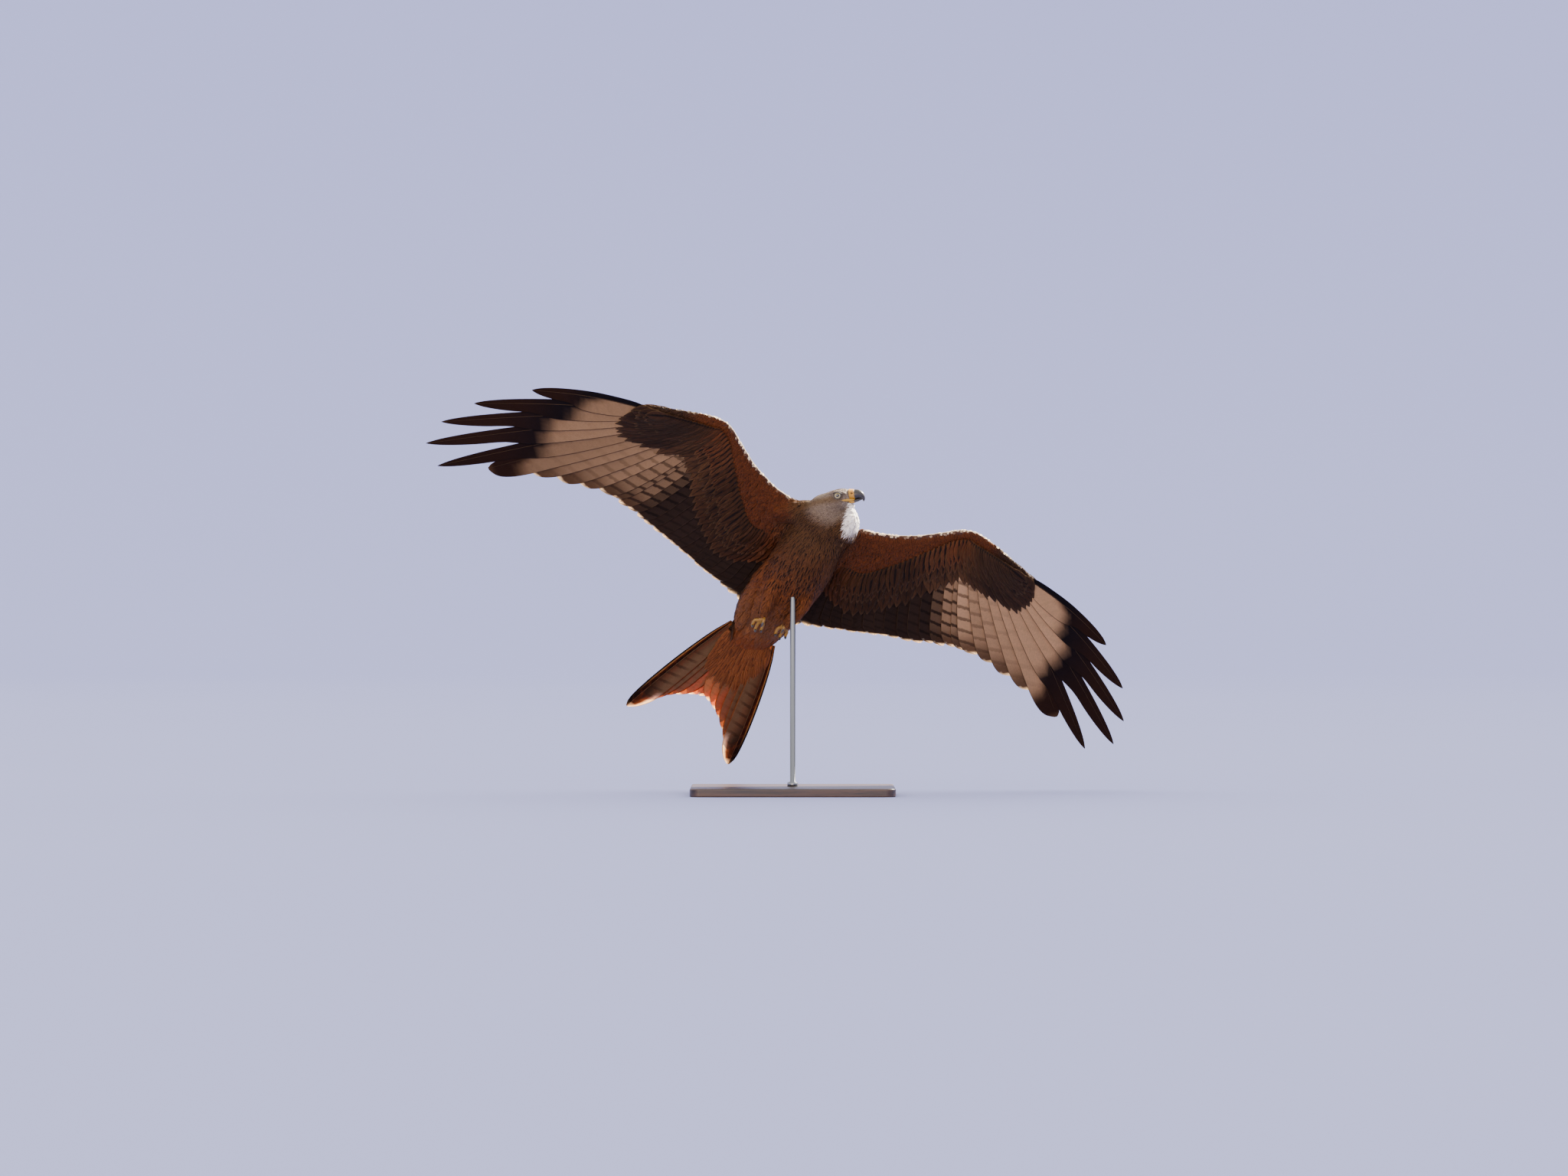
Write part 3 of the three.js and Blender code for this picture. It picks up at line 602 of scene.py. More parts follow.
# Node groups and materials
class Nodes:
    """Short ways to add and link nodes in one tree."""

    def __init__(self, tree):
        self.tree = tree

    def add(self, kind, **settings):
        """New node with its settings."""
        node = self.tree.nodes.new(kind)
        for name, value in settings.items():
            setattr(node, name, value)
        return node

    def feed(self, socket, value):
        """Links a socket to another one, or gives it a plain value."""
        if isinstance(value, bpy.types.NodeSocket):
            self.tree.links.new(value, socket)
        else:
            socket.default_value = value

    def made(self, kind, output, given, **settings):
        """Output of a new node whose inputs are fed by name or number."""
        node = self.add(kind, **settings)
        for label, value in given.items():
            self.feed(node.inputs[label], value)
        return node.outputs[output]

    def math(self, operation, *values):
        """One operation on sockets and plain numbers."""
        return self.made("ShaderNodeMath", 0, dict(enumerate(values)), operation=operation)

    def scaled(self, value, factor):
        """A colour times a factor."""
        return self.made("ShaderNodeVectorMath", 0, {0: value, "Scale": factor}, operation="SCALE")

    def step(self, low, high, value):
        """0 below low, 1 above high and a soft step between them."""
        return self.made("ShaderNodeMapRange", 0, {"Value": value, "From Min": low, "From Max": high},
                         interpolation_type="SMOOTHSTEP")

    def mix(self, share, first, second, way="MIX"):
        """Colour between two colours, or mixed in another way."""
        return self.made("ShaderNodeMix", 2, {0: share, 6: first, 7: second},
                         data_type="RGBA", blend_type=way)

    def noise(self, vector, scale, detail=2.0):
        """Cloudy noise between 0 and 1."""
        return self.made("ShaderNodeTexNoise", 0, {"Vector": vector, "Scale": scale, "Detail": detail})

    def place(self, stretch=None):
        """Place in the piece's own axes, stretched along each axis where a stretch is given."""
        place = self.add("ShaderNodeTexCoord").outputs["Object"]
        if stretch is None:
            return place
        return self.made("ShaderNodeMapping", 0, {"Vector": place, "Scale": stretch})

    def painted(self, layer):
        """Colour painted on the mesh under a layer's name."""
        return self.add("ShaderNodeAttribute", attribute_name=layer).outputs["Color"]


def new_group(name, inputs, outputs):
    """Node group with named sockets: its nodes, what it is given and what it puts out."""
    tree = bpy.data.node_groups.new(name, "ShaderNodeTree")
    for direction, sockets in (("INPUT", inputs), ("OUTPUT", outputs)):
        for label, (kind, value) in sockets.items():
            socket = tree.interface.new_socket(label, in_out=direction, socket_type="NodeSocket" + kind)
            if value is not None:
                socket.default_value = value
    nodes = Nodes(tree)
    return nodes, nodes.add("NodeGroupInput").outputs, nodes.add("NodeGroupOutput").inputs


def feather_group():
    """Marks and relief of a feather, from its own map: u across it and v along it.

    The streak is a band on both sides of the shaft that narrows to the tip, the bars are a sine
    along the feather that bends back from the shaft, the rim is a soft band at the sides and the
    tip, and the barbs are a fine slanting sine. Noise roughens all of them.
    """
    nodes, given, out = new_group(
        "feather_pattern",
        {"Ground": ("Color", (1, 1, 1, 1)), "Streak": ("Color", (0, 0, 0, 1)),
         "Width": ("Float", 0.2), "Bars": ("Float", 0.0), "Edge": ("Float", 0.0),
         "Rim": ("Float", 0.28), "Beside": ("Float", 1.0), "Count": ("Float", 6.0),
         "Barbs": ("Float", 60.0), "Map": ("Vector", (0, 0, 0))},
        {"Color": ("Color", None), "Height": ("Float", None), "Roughness": ("Float", None)},
    )
    math_node = nodes.math
    split = nodes.add("ShaderNodeSeparateXYZ")
    nodes.feed(split.inputs[0], given["Map"])
    across = math_node("ABSOLUTE", math_node("MULTIPLY_ADD", split.outputs[0], 2.0, -1.0))
    along = split.outputs[1]
    rough = math_node("SUBTRACT", nodes.noise(nodes.place(), 260.0), 0.5)
    # Streak beside the shaft, absent where its width is 0
    narrow = math_node("MULTIPLY", given["Width"], math_node("MULTIPLY_ADD", along, -0.45, 1.25))
    narrow = math_node("MAXIMUM", narrow, 0.01)
    edge = math_node("MULTIPLY_ADD", rough, 0.16, across)
    beyond = nodes.step(math_node("MULTIPLY", narrow, 0.55), narrow, edge)
    present = nodes.step(0.0, 0.05, given["Width"])
    streak = math_node("MULTIPLY", math_node("SUBTRACT", 1.0, beyond), present)
    # Cross bars
    waves = math_node("MULTIPLY_ADD", across, 0.55, math_node("MULTIPLY", along, given["Count"]))
    waves = math_node("MULTIPLY_ADD", rough, 0.22, waves)
    bars = nodes.step(0.4, 0.92, math_node("SINE", math_node("MULTIPLY", waves, 2 * math.pi)))
    mask = math_node("MAXIMUM", streak, math_node("MULTIPLY", bars, given["Bars"]))
    marked = nodes.mix(mask, given["Ground"], given["Streak"])
    # Barbs
    slant = math_node("MULTIPLY_ADD", across, -0.7, math_node("MULTIPLY", along, 3.0))
    barbs = math_node("SINE", math_node("MULTIPLY", slant, given["Barbs"]))
    shade = math_node("MULTIPLY_ADD", barbs, 0.06, math_node("MULTIPLY_ADD", rough, 0.3, 1.0))
    toned = nodes.scaled(marked, shade)
    # Pale rim: a lighter and warmer tone of the feather's own colour, a real pale fringe that on the
    # flight feathers' tips is also painted backlit glow
    beside = nodes.step(math_node("SUBTRACT", 1.0, given["Rim"]), 1.0, across)
    ahead = nodes.step(math_node("MULTIPLY_ADD", given["Rim"], -0.5, 1.0), 1.0, along)
    rim = math_node("MAXIMUM", math_node("MULTIPLY", beside, given["Beside"]), ahead)
    light = nodes.mix(0.3, nodes.scaled(toned, 2.2), colour4("c9a271"))
    nodes.feed(out["Color"], nodes.mix(math_node("MULTIPLY", rim, given["Edge"]), toned, light))
    shaft = math_node("SUBTRACT", 1.0, nodes.step(0.0, 0.09, across))
    nodes.feed(out["Height"], math_node("MULTIPLY_ADD", barbs, 0.25, shaft))
    nodes.feed(out["Roughness"], math_node("MULTIPLY_ADD", rough, 0.2, 0.62))
    return nodes.tree


def new_material(name, **sockets):
    """Material with the given numbers on its shader's own sockets."""
    material = bpy.data.materials.new(name)
    material.use_nodes = True
    shader = material.node_tree.nodes["Principled BSDF"]
    for label, value in sockets.items():
        shader.inputs[label.replace("_", " ")].default_value = value
    return material, Nodes(material.node_tree), shader


def dress(nodes, shader, tint, roughness, height, depth, strength):
    """Feeds a shader its colour, its roughness and a relief of a depth in metres."""
    nodes.feed(shader.inputs["Base Color"], tint)
    nodes.feed(shader.inputs["Roughness"], roughness)
    relief = {"Height": height, "Distance": depth, "Strength": strength}
    nodes.feed(shader.inputs["Normal"], nodes.made("ShaderNodeBump", 0, relief))


def feather_material(name, barbs, bars, clear, relief, rim=0.28, beside=1.0):
    """Feather look: marks come from the mesh, and some light shines through the vane."""
    material, nodes, shader = new_material(name, Specular_IOR_Level=0.1)
    pattern = nodes.add("ShaderNodeGroup", node_tree=FEATHER)
    marks = nodes.add("ShaderNodeSeparateColor")
    nodes.feed(marks.inputs[0], nodes.painted("marks"))
    width, bar_strength, edge = marks.outputs
    given = {
        "Ground": nodes.painted("ground"), "Streak": nodes.painted("streak"),
        "Width": width, "Bars": bar_strength, "Edge": edge,
        "Map": nodes.add("ShaderNodeUVMap", uv_map="Feather").outputs[0],
        "Barbs": barbs, "Count": bars, "Rim": rim, "Beside": beside,
    }
    for label, value in given.items():
        nodes.feed(pattern.inputs[label], value)
    tint, height, roughness = pattern.outputs
    dress(nodes, shader, tint, roughness, height, 0.0004, relief)
    through = nodes.made("ShaderNodeBsdfTranslucent", 0, {"Color": tint})
    blended = nodes.made("ShaderNodeMixShader", 0, {0: clear, 1: shader.outputs[0], 2: through})
    nodes.feed(material.node_tree.nodes["Material Output"].inputs["Surface"], blended)
    return material


FEATHER = feather_group()
CONTOUR = feather_material("contour_feathers", 9.0, 3.0, 0.16, 0.35)
FLIGHT = feather_material("flight_feathers", 130.0, 9.0, 0.55, 0.25, 0.08, 0.3)
RECTRIX = feather_material("tail_feathers", 130.0, 12.0, 0.7, 0.25, 0.06, 0.5)


def skin_material():
    """Down between the feathers, in the plumage's own colours."""
    material, nodes, shader = new_material("down_skin", Sheen_Weight=0.2)
    noise = nodes.noise(nodes.place(), 420.0, 4.0)
    shade = nodes.mix(nodes.step(0.35, 0.65, noise), (0.45, 0.4, 0.38, 1), (1, 1, 1, 1))
    tint = nodes.mix(1.0, nodes.painted("ground"), shade, "MULTIPLY")
    dress(nodes, shader, tint, 0.9, noise, 0.0008, 0.6)
    return material


# Cut of each kind of feather: rows of place along the shaft, front and rear width as shares
FINGER_CUT = np.array([
    [0, 0.1, 0.18], [0.12, 0.18, 0.4], [0.3, 0.2, 0.56], [0.48, 0.21, 0.6], [0.58, 0.2, 0.54],
    [0.68, 0.19, 0.36], [0.8, 0.17, 0.3], [0.88, 0.14, 0.23], [0.94, 0.1, 0.15], [0.98, 0.05, 0.07],
    [1, 0.01, 0.01],
])
ROUND_CUT = np.array([
    [0, 0.1, 0.18], [0.15, 0.2, 0.46], [0.4, 0.26, 0.62], [0.7, 0.28, 0.66], [0.86, 0.27, 0.62],
    [0.94, 0.22, 0.5], [0.98, 0.14, 0.32], [1, 0.03, 0.08],
])
RECTRIX_CUT = np.array([
    [0, 0.1, 0.18], [0.15, 0.2, 0.46], [0.4, 0.25, 0.62], [0.7, 0.26, 0.66], [0.84, 0.24, 0.58],
    [0.92, 0.2, 0.42], [0.97, 0.13, 0.24], [1, 0.03, 0.06],
])
COVERT_CUT = np.array([[0, 0.2, 0.2], [0.3, 0.42, 0.42], [0.7, 0.5, 0.5], [0.88, 0.38, 0.38],
                       [1, 0.04, 0.04]])
POINTED_CUT = np.array([[0, 0.2, 0.2], [0.3, 0.46, 0.46], [0.62, 0.46, 0.46], [0.85, 0.24, 0.24],
                        [1, 0.02, 0.02]])
TUFT_CUT = np.array([[0, 0.2, 0.2], [0.35, 0.46, 0.46], [0.75, 0.42, 0.42], [1, 0.06, 0.06]])
ROD_CUT = np.array([[0, 1, 1], [0.6, 0.55, 0.55], [1, 0.12, 0.12]])


# Places across a vane at which it has points, from its rear edge to its front edge
TUFT_COLUMNS = np.array([-1, -0.72, 0, 0.72, 1.0])
RECTRIX_COLUMNS = np.array([-1, -0.9, -0.82, -0.6, -0.3, 0, 0.12, 0.5, 0.68, 0.82, 1.0])
FLIGHT_COLUMNS = np.array([-1, -0.96, -0.7, -0.4, -0.1, 0, 0.1, 0.45, 0.94, 1.0])
ROD_COLUMNS = np.array([-1, -0.5, 0.5, 1.0])
# Steps along the shafts of large feathers, coverts, tail coverts and small feathers
LARGE_STEPS, COVERT_STEPS, TAIL_COVERT_STEPS, SMALL_STEPS = 30, 9, 10, 5
# Thickness of vanes, and width and depth of the shafts on them
LARGE_VANE, COVERT_VANE, SMALL_VANE = 0.55, 0.5, 0.32
SHAFT_WIDTH, SHAFT_DEPTH = 0.9, 2.1
LEAST_CUT = 0.005
# Size of a small feather's patch on the bake map
PATCH = 0.003
RNG = np.random.default_rng(7)


def tipward(steps):
    """Places along a shaft, closer together towards its tip, as a power of the way left."""
    return 1 - (1 - np.linspace(0, 1, steps)) ** 1.7


def vanes(shafts, across, normals, widths, cut, columns, thickness, camber=0.0, v=None):
    """Closed thin vanes round many shafts.

    A point at place v along a shaft and u across it lies at the shaft, plus u times the cut's
    width along the across direction, less the camber times the square of u, plus or minus half
    the thickness times 1 - u squared along the normal. The upper side runs from u = -1 to 1 and
    the lower side back, as one ring, so the sides share their edges.
    """
    count, steps = shafts.shape[:2]
    v = np.linspace(0, 1, steps) if v is None else v
    _, front, rear = np.maximum(row_at(cut, v), LEAST_CUT).T[..., None]
    u = np.concatenate([columns, columns[-2:0:-1]])
    face = np.concatenate([np.ones(len(columns)), -np.ones(len(columns) - 2)])
    reach = (np.where(u > 0, front, rear) * u)[None]
    offset = reach * widths[:, None, None]
    raised = face * (1 - u**2) * thickness / 2
    drop = camber * reach**2 * widths[:, None, None]
    points = (shafts[:, :, None] + offset[..., None] * across[:, :, None]
              + (raised - drop)[..., None] * normals[:, :, None])
    around = len(u)
    start = (np.arange(count) * steps * around)[:, None, None]
    quads = (ring_faces(steps, around) + start).reshape(-1, 4)
    caps = np.stack([np.arange(around)[::-1], (steps - 1) * around + np.arange(around)])
    grid = {key: np.broadcast_to(values, (count, steps, around)).ravel()
            for key, values in (("u", u), ("v", v[:, None]), ("face", face))}
    grid["feather"] = np.repeat(np.arange(count), steps * around)
    return points.reshape(-1, 3), quads, (caps + start).reshape(-1, around), grid


class Coat:
    """Gathers batches of vanes and makes one mesh of them."""

    COLOURS = ("ground", "streak", "marks")
    MAPS = ("Feather", "OFBake")

    def __init__(self, name):
        self.name, self.count, self.caps = name, 0, []
        self.parts = {key: [] for key in ("points", "quads", *self.COLOURS, *self.MAPS)}

    def add(self, shape, ground, streak, marks, place, patch):
        """Adds one batch: colours for each of its points, and a bake patch round each root's place.

        Faces that enclose a negative volume are reversed.
        """
        points, quads, caps, grid = shape
        if enclosed(points, quads) < 0:
            quads, caps = quads[:, ::-1], caps[:, ::-1]
        feather = np.stack([(grid["u"] + 1) / 2, grid["v"]], -1)
        self.caps.append(caps + self.count)
        batch = [points, quads + self.count]
        batch += [np.broadcast_to(values, points.shape) for values in (ground, streak, marks)]
        batch += [feather, place + (feather - 0.5) * patch]
        for gathered, values in zip(self.parts.values(), batch):
            gathered.append(values)
        self.count += len(points)

    def finish(self, material, slot, *nodes):
        """The piece: one mesh with its colours and maps, its material and nodes; the slot is handed on
        unused.
        """
        whole = {key: np.concatenate(values) for key, values in self.parts.items()}
        sizes = sorted({caps.shape[1] for caps in self.caps})
        ends = [np.concatenate([c for c in self.caps if c.shape[1] == size]) for size in sizes]
        piece = make_mesh(
            self.name, in_room(whole["points"]), [whole["quads"], *ends],
            {key: whole[key] for key in self.COLOURS},
            {key: np.clip(whole[key], 0.001, 0.999) for key in self.MAPS},
        )
        return place_piece(piece, material, slot, *nodes)


def vane_frames(roots, tips, steps, side, bow, tilt=VANE_TILT):
    """Shafts, across directions and normals of flat vanes from roots to tips.

    The front edge is the one towards the wing's leading edge, and is raised by the tilt; the
    shaft bows forward as the sine of its place.
    """
    v = tipward(steps)[None, :, None]
    along = unit(tips - roots)
    level = unit(np.stack([-along[:, 1], along[:, 0], np.zeros(len(along))], -1) * side)
    up = unit(np.cross(level, along) * -side)
    level, up = level[:, None], up[:, None]
    angle = np.radians(part_way(*tilt, v))
    across = level * np.cos(angle) + up * np.sin(angle)
    normal = up * np.cos(angle) - level * np.sin(angle)
    bows = np.asarray(bow, float).reshape(-1, 1, 1)
    shafts = roots[:, None] + (tips - roots)[:, None] * v + level * bows * np.sin(math.pi * v)
    return shafts, across, normal


def strip_places(index, total, height):
    """Bake places of large feathers: each has an upright strip of its own."""
    return np.stack([(index + 0.5) / total, np.broadcast_to(height, index.shape)], -1)


def large_feathers(coat, index, total, frames, width, cut, columns, camber, look, tones, shaft_tint):
    """Adds large feathers, coloured by the look of their points, each in a tone of its own.

    A shaft is raised on each: a slender rod that tapers to the tip.
    """
    v = tipward(LARGE_STEPS)
    shape = vanes(*frames, np.full(len(index), width), cut, columns, LARGE_VANE, camber, v)
    points, _, _, grid = shape
    feather = grid["feather"]
    ground, streak, marks = look(points, grid)
    ground = ground * RNG.uniform(*tones, len(index))[feather, None]
    place = strip_places(index[feather], total, np.where(grid["face"] > 0, 0.75, 0.25))
    coat.add(shape, ground, streak, marks, place, np.array([0.9 / total, 0.44]))
    rod = vanes(*frames, np.full(len(index), SHAFT_WIDTH), ROD_CUT, ROD_COLUMNS, SHAFT_DEPTH, v=v)
    feather = rod[3]["feather"]
    tint = np.broadcast_to(shaft_tint, (len(index), 3))[feather]
    coat.add(rod, tint, tint * 0.7, (0, 0, 0), strip_places(index, total, 0.5)[feather], PATCH)


# Outer limit of the pale window, as x over y, and how far it reaches past it on one feather and the
# next; strength of the bars by feather; and the window painted brighter on the side that the sun
# shines through, as painted backlight
WINDOW_EDGE = ([-60, -35, 0, 45, 95, 120, 154], [486, 484, 481, 474, 458, 440, 405])
WINDOW_STEPS = np.array([6, -9, 3, 10, -4])
BAR_STRENGTHS = ([0, 11, 12, 15, 17, 19, 21], [0.5, 0.5, 0.95, 0.85, 0.4, 0.15, 0.05])
WINDOW_PAINTED_BACKLIGHT = {1: 1.0, -1: 1.7}


def remex_colours(number, points, grid, side):
    """Colours of flight feathers: a pale window and bars below, dark fingers, plain brown above.

    The window ends outward at its limit and inward among the outer secondaries.
    """
    f, v, u = number[grid["feather"]], grid["v"], grid["u"]
    x, y = points[:, 0] * side, points[:, 1]
    under = smooth(0.3, -0.3, grid["face"])
    primary, finger = f >= FIRST_PRIMARY, f >= FIRST_FINGER
    on_hand = primary[:, None]
    limit = np.interp(y, *WINDOW_EDGE) + WINDOW_STEPS[f % len(WINDOW_STEPS)] - 14 * np.abs(u + 0.35)
    window = np.where(primary, 1 - smooth(limit - 15, limit + 11, x),
                      smooth(FIRST_PRIMARY - 3.4, FIRST_PRIMARY - 2.2, f))
    window = window * np.where(finger & (u > 0.08), 0.0, 1.0)
    tip = smooth(0.74, np.where(primary, 0.94, 0.95), v)
    dark = blend(FINGER, FINGER_WARM, 0.5 * smooth(0.45, 0.8, v) * primary)
    dark = np.where(on_hand, dark, SECONDARY)
    # The left wing's window is painted brighter as painted backlight
    pale = WINDOW * WINDOW_PAINTED_BACKLIGHT[side] * np.where(on_hand, 1.0, 0.75)
    pale = pale * (1.15 - 0.15 * smooth(0.35, 0.75, v))[:, None]
    pale = blend(pale, DUSKY_TIP, 0.78 * tip)
    above = np.where(on_hand, PRIMARY_TOP, SECONDARY_TOP)
    bars = np.interp(f, *BAR_STRENGTHS) * np.where(u > 0.1, 0.35, 1) * smooth(0.12, 0.3, v)
    bars = bars * (0.3 + 0.7 * under)
    # Pale rims, strongest on the secondaries: a real pale fringe whose tips are also painted backlit
    # glow
    edge = np.where(finger, 0.05, np.where(primary, 0.3, 0.75))
    # Painted backlit glow on the innermost secondaries' tips; the hem is a pale tip that is partly
    # painted backlit glow, brighter below than above
    glow = 0.8 * smooth(2.5, 0, f) * smooth(0.93, 0.99, v)
    hem = np.maximum(smooth(0.968, 0.986, v), smooth(0.95, 0.965, v) * smooth(-0.9, -0.96, u))
    hem = hem * (f < FIRST_FINGER - 1) * (0.4 + 0.55 * under)
    below = blend(dark, pale, window)
    ground = layered(above, (below, under), (HEM_AND_PAINTED_GLOW, np.maximum(0.85 * glow, hem)))
    streak = blend(dark * 0.45, WINDOW_BAR, window * under)
    return ground, streak, np.stack([np.zeros_like(v), bars, edge], -1)


def flight_feathers(side_name, side):
    """Primaries and secondaries of one wing, each a cambered vane with its shaft."""
    coat = Coat(f"flight_feathers_{side_name}")
    number = np.arange(len(RAY_ROOTS))
    for chosen, cut, width in (
        (number[FIRST_FINGER:], FINGER_CUT, FINGER_WIDTH),
        (number[FIRST_PRIMARY:FIRST_FINGER], ROUND_CUT, PRIMARY_WIDTH),
        (number[:FIRST_PRIMARY], ROUND_CUT, SECONDARY_WIDTH),
    ):
        roots, tips = RAY_ROOTS[chosen] * (side, 1, 1), RAY_TIPS[chosen] * (side, 1, 1)
        roots = roots + RNG.normal(0, 0.4, roots.shape)
        tips = tips + RNG.normal(0, 1.1, tips.shape) * (1, 1, 0.25)
        bow = 7 * np.clip((chosen - FIRST_PRIMARY) / 9, 0, 1)
        frames = vane_frames(roots, tips, LARGE_STEPS, side, bow)
        shaft_tint = np.where((chosen >= FIRST_PRIMARY)[:, None], PRIMARY_SHAFT, SECONDARY_SHAFT)
        large_feathers(
            coat, chosen, len(number), frames, width, cut, FLIGHT_COLUMNS, 0.06,
            lambda points, grid: remex_colours(chosen, points, grid, side), (0.85, 1.12), shaft_tint,
        )
    return coat.finish(FLIGHT, "feathers_wing", f"wing_{side_name}_arm", f"wing_{side_name}_hand")


# How far the greater coverts reach from the roots of the flight feathers, by place in the row
COVERT_PLACES = [0, 8, 14, 15, 17, 19, 20, 21, 22, 23, 24]
COVERT_REACH = [62, 82, 76, 76, 92, 106, 110, 102, 88, 68, 44]
# Rows of coverts, the longest first: how many feathers, where they start, their colours above on the
# arm and on the hand, then, below and above: share of the reach, width, heights of root and tip, marks
TIERS = (
    (37, 0, (colour("35251a"), colour("1f1611")),
     (1.0, 27, (-6.2, -3.4), (0.1, 0.3, 0.16)), (1.02, 27, (6.5, 3.4), (0.12, 0.0, 0.5))),
    (47, -14, (PALE_BAND, colour("271c14")),
     (0.66, 21, (-8.4, -5.4), (0.25, 0.2, 0.2)), (0.66, 22, (8.8, 5.6), (0.22, 0.0, 0.6))),
    (55, -20, (PALE_BAND * 0.8, colour("2b1f17")),
     (0.42, 17, (-9.0, -7.0), (0.3, 0.1, 0.2)), (0.42, 18, (9.6, 7.4), (0.3, 0.0, 0.5))),
)


def wing_places(x, y, above, span):
    """Bake places of small feathers on a wing: the lower side in the lower half of the map."""
    return np.stack([x / span, (y + 20) / 240 * 0.46 + 0.5 * above], -1)


def covert_tier(coat, side, places, start, reach, width, heights, marks, top=None):
    """One row of coverts along the wing, from start to reach along the flight feathers.

    Heights are the offsets of root and tip from the flight feathers' own plane: positive ones lie
    on the back and take the top's colours, negative ones lie under the wing.
    """
    count = len(places)
    roots, tips = rays(places)
    along = unit(tips - roots)
    begin, end = ((roots + along * np.reshape(way, (-1, 1))) * (side, 1, 1) for way in (start, reach))
    end = end + RNG.normal(0, 1.6, end.shape) * (1, 1, 0.1)
    shafts, across, normals = vane_frames(begin, end, COVERT_STEPS, side, 0.0, tilt=(7, 5))
    v = tipward(COVERT_STEPS)
    lift = part_way(*heights, smooth(0, 1, v) ** 0.8)
    shafts = shafts + lift[:, None] * (0, 0, 1)
    widths = width * RNG.uniform(0.9, 1.1, count)
    cut = POINTED_CUT if top is None else COVERT_CUT
    shape = vanes(shafts, across, normals, widths, cut, TUFT_COLUMNS, COVERT_VANE, 0.12, v)
    feather = shape[3]["feather"]
    tone = RNG.uniform(0.72, 1.35, count)[feather, None]
    middle = (begin + end) / 2
    ground = under_wing(middle[:, 0] * side, middle[:, 1]) if top is None else top
    place = wing_places(begin[:, 0] * side, begin[:, 1], top is not None, 420)
    coat.add(shape, ground[feather] * tone, STREAK_DARK, marks, place[feather], PATCH)


def wing_tiers(side_name, side):
    """Three rows of coverts below and above one wing."""
    coat = Coat(f"covert_tiers_{side_name}")
    for count, start, tops, below, above in TIERS:
        places = np.linspace(0, 24, count)
        top = blend(*tops, smooth(13.6, 15.2, places))
        full = np.interp(places, COVERT_PLACES, COVERT_REACH)
        for (share, width, heights, marks), colours in ((below, None), (above, top)):
            covert_tier(coat, side, places, start, full * share, width, heights, marks, colours)
    return coat.finish(CONTOUR, "feathers_wing")


def tail_points(side, across_back):
    """Points of the tail in the bird's frame, from places across it and back from its root."""
    flat = np.column_stack([side * across_back[:, 0], -across_back[:, 1], np.zeros(len(across_back))])
    return flat @ TAIL_FRAME.T + TAIL_ROOT


def rectrix_colours(_, grid):
    """Colours of tail feathers: below, a glowing middle, browner and barred sides with smoky
    corners, pale ends partly painted as backlit glow, and a dark outermost web with a thin pale line;
    above, plain rufous."""
    f, v, u = grid["feather"], grid["v"], grid["u"]
    last = len(TAIL_TIPS) - 1
    outer, outermost, outer_web = f / last, f == last, u > 0.1
    corner = smooth(0.7, 1.0, outer) * smooth(0.6, 0.9, v) * smooth(-0.8, -0.4, u)
    shown = np.where(f == last - 1, smooth(0.88, 0.94, v), 0.0)
    shown = np.where(outermost, smooth(0.74, 0.82, v), shown)
    # Pale ends: pale tips painted brighter as painted backlit glow, above and below
    pale_end_and_glow = np.maximum(smooth(0.95, 0.975, v) * (1 - 0.6 * corner), shown * smooth(-0.72, -0.84, u))
    pale_line = outermost * smooth(0.5, 0.68, u) * smooth(0.82, 0.7, u) * smooth(0.92, 0.6, v)
    under = layered(
        TAIL_GLOW, (TAIL_UNDER, smooth(0.05, 0.55, outer)),
        (TAIL_SMOKY, smooth(0.75, 1.0, outer) * smooth(-0.6, 0.1, u)),
        (CORNER_DARK, 0.9 * corner), (TAIL_END_PAINTED_GLOW, 0.97 * pale_end_and_glow),
        (OUTER_WEB, 0.95 * (outermost & outer_web)), (WEB_LINE, 0.8 * pale_line),
    )
    top = layered(
        TAIL_TOP, (CORNER_TOP, 0.6 * corner), (OUTER_WEB_TOP, outermost * smooth(0.4, 0.6, u)),
        (TAIL_END_TOP_PAINTED_GLOW, 0.55 * pale_end_and_glow),
    )
    below = smooth(0.3, -0.3, grid["face"])
    bars = 0.1 + 0.55 * smooth(0.5, 0.9, outer) * below * smooth(-0.95, -0.3, u)
    bars = bars * np.where(outer_web, 0.4, 1.0) * smooth(0.25, 0.4, v) * (1 - pale_end_and_glow)
    marks = np.stack([np.zeros_like(v), bars, np.full_like(v, 0.35)], -1)
    return blend(top, under, below), blend(TAIL_BAR_TOP, TAIL_BAR, below), marks


def tail_feathers():
    """Twelve tail feathers, the longest outside, each a cambered vane with its shaft."""
    coat = Coat("tail_feathers")
    count = len(TAIL_TIPS)
    share = np.linspace(0, 1, count)[:, None]
    stacked = (1 - share) * (0, 0, TAIL_STACK)
    for half, side in enumerate(SIDES.values()):
        roots, tips = tail_points(side, part_way(*TAIL_ROOTS, share)), tail_points(side, TAIL_TIPS)
        tips = tips + RNG.normal(0, 1.0, tips.shape) * (1, 1, 0.1)
        frames = vane_frames(roots + stacked, tips + stacked, LARGE_STEPS, side, 3 * share[:, 0])
        large_feathers(
            coat, np.arange(count) + count * half, 2 * count, frames, TAIL_WIDTH, RECTRIX_CUT,
            RECTRIX_COLUMNS, 0.05, rectrix_colours, (0.92, 1.08), TAIL_SHAFT,
        )
    return coat.finish(RECTRIX, "feathers_tail", "tail_right", "tail_left")


# Rows of tail coverts: whether they lie below, where they start along y, how far they reach, how many
# feathers there are and how wide
TAIL_COVERT_ROWS = (
    (True, -160, 62, 29, 11), (True, -170, 66, 31, 11), (True, -180, 68, 31, 11),
    (True, -189, 72, 29, 11), (True, -197, 78, 25, 11),
    (False, -176, 50, 11, 19), (False, -192, 50, 9, 18),
)


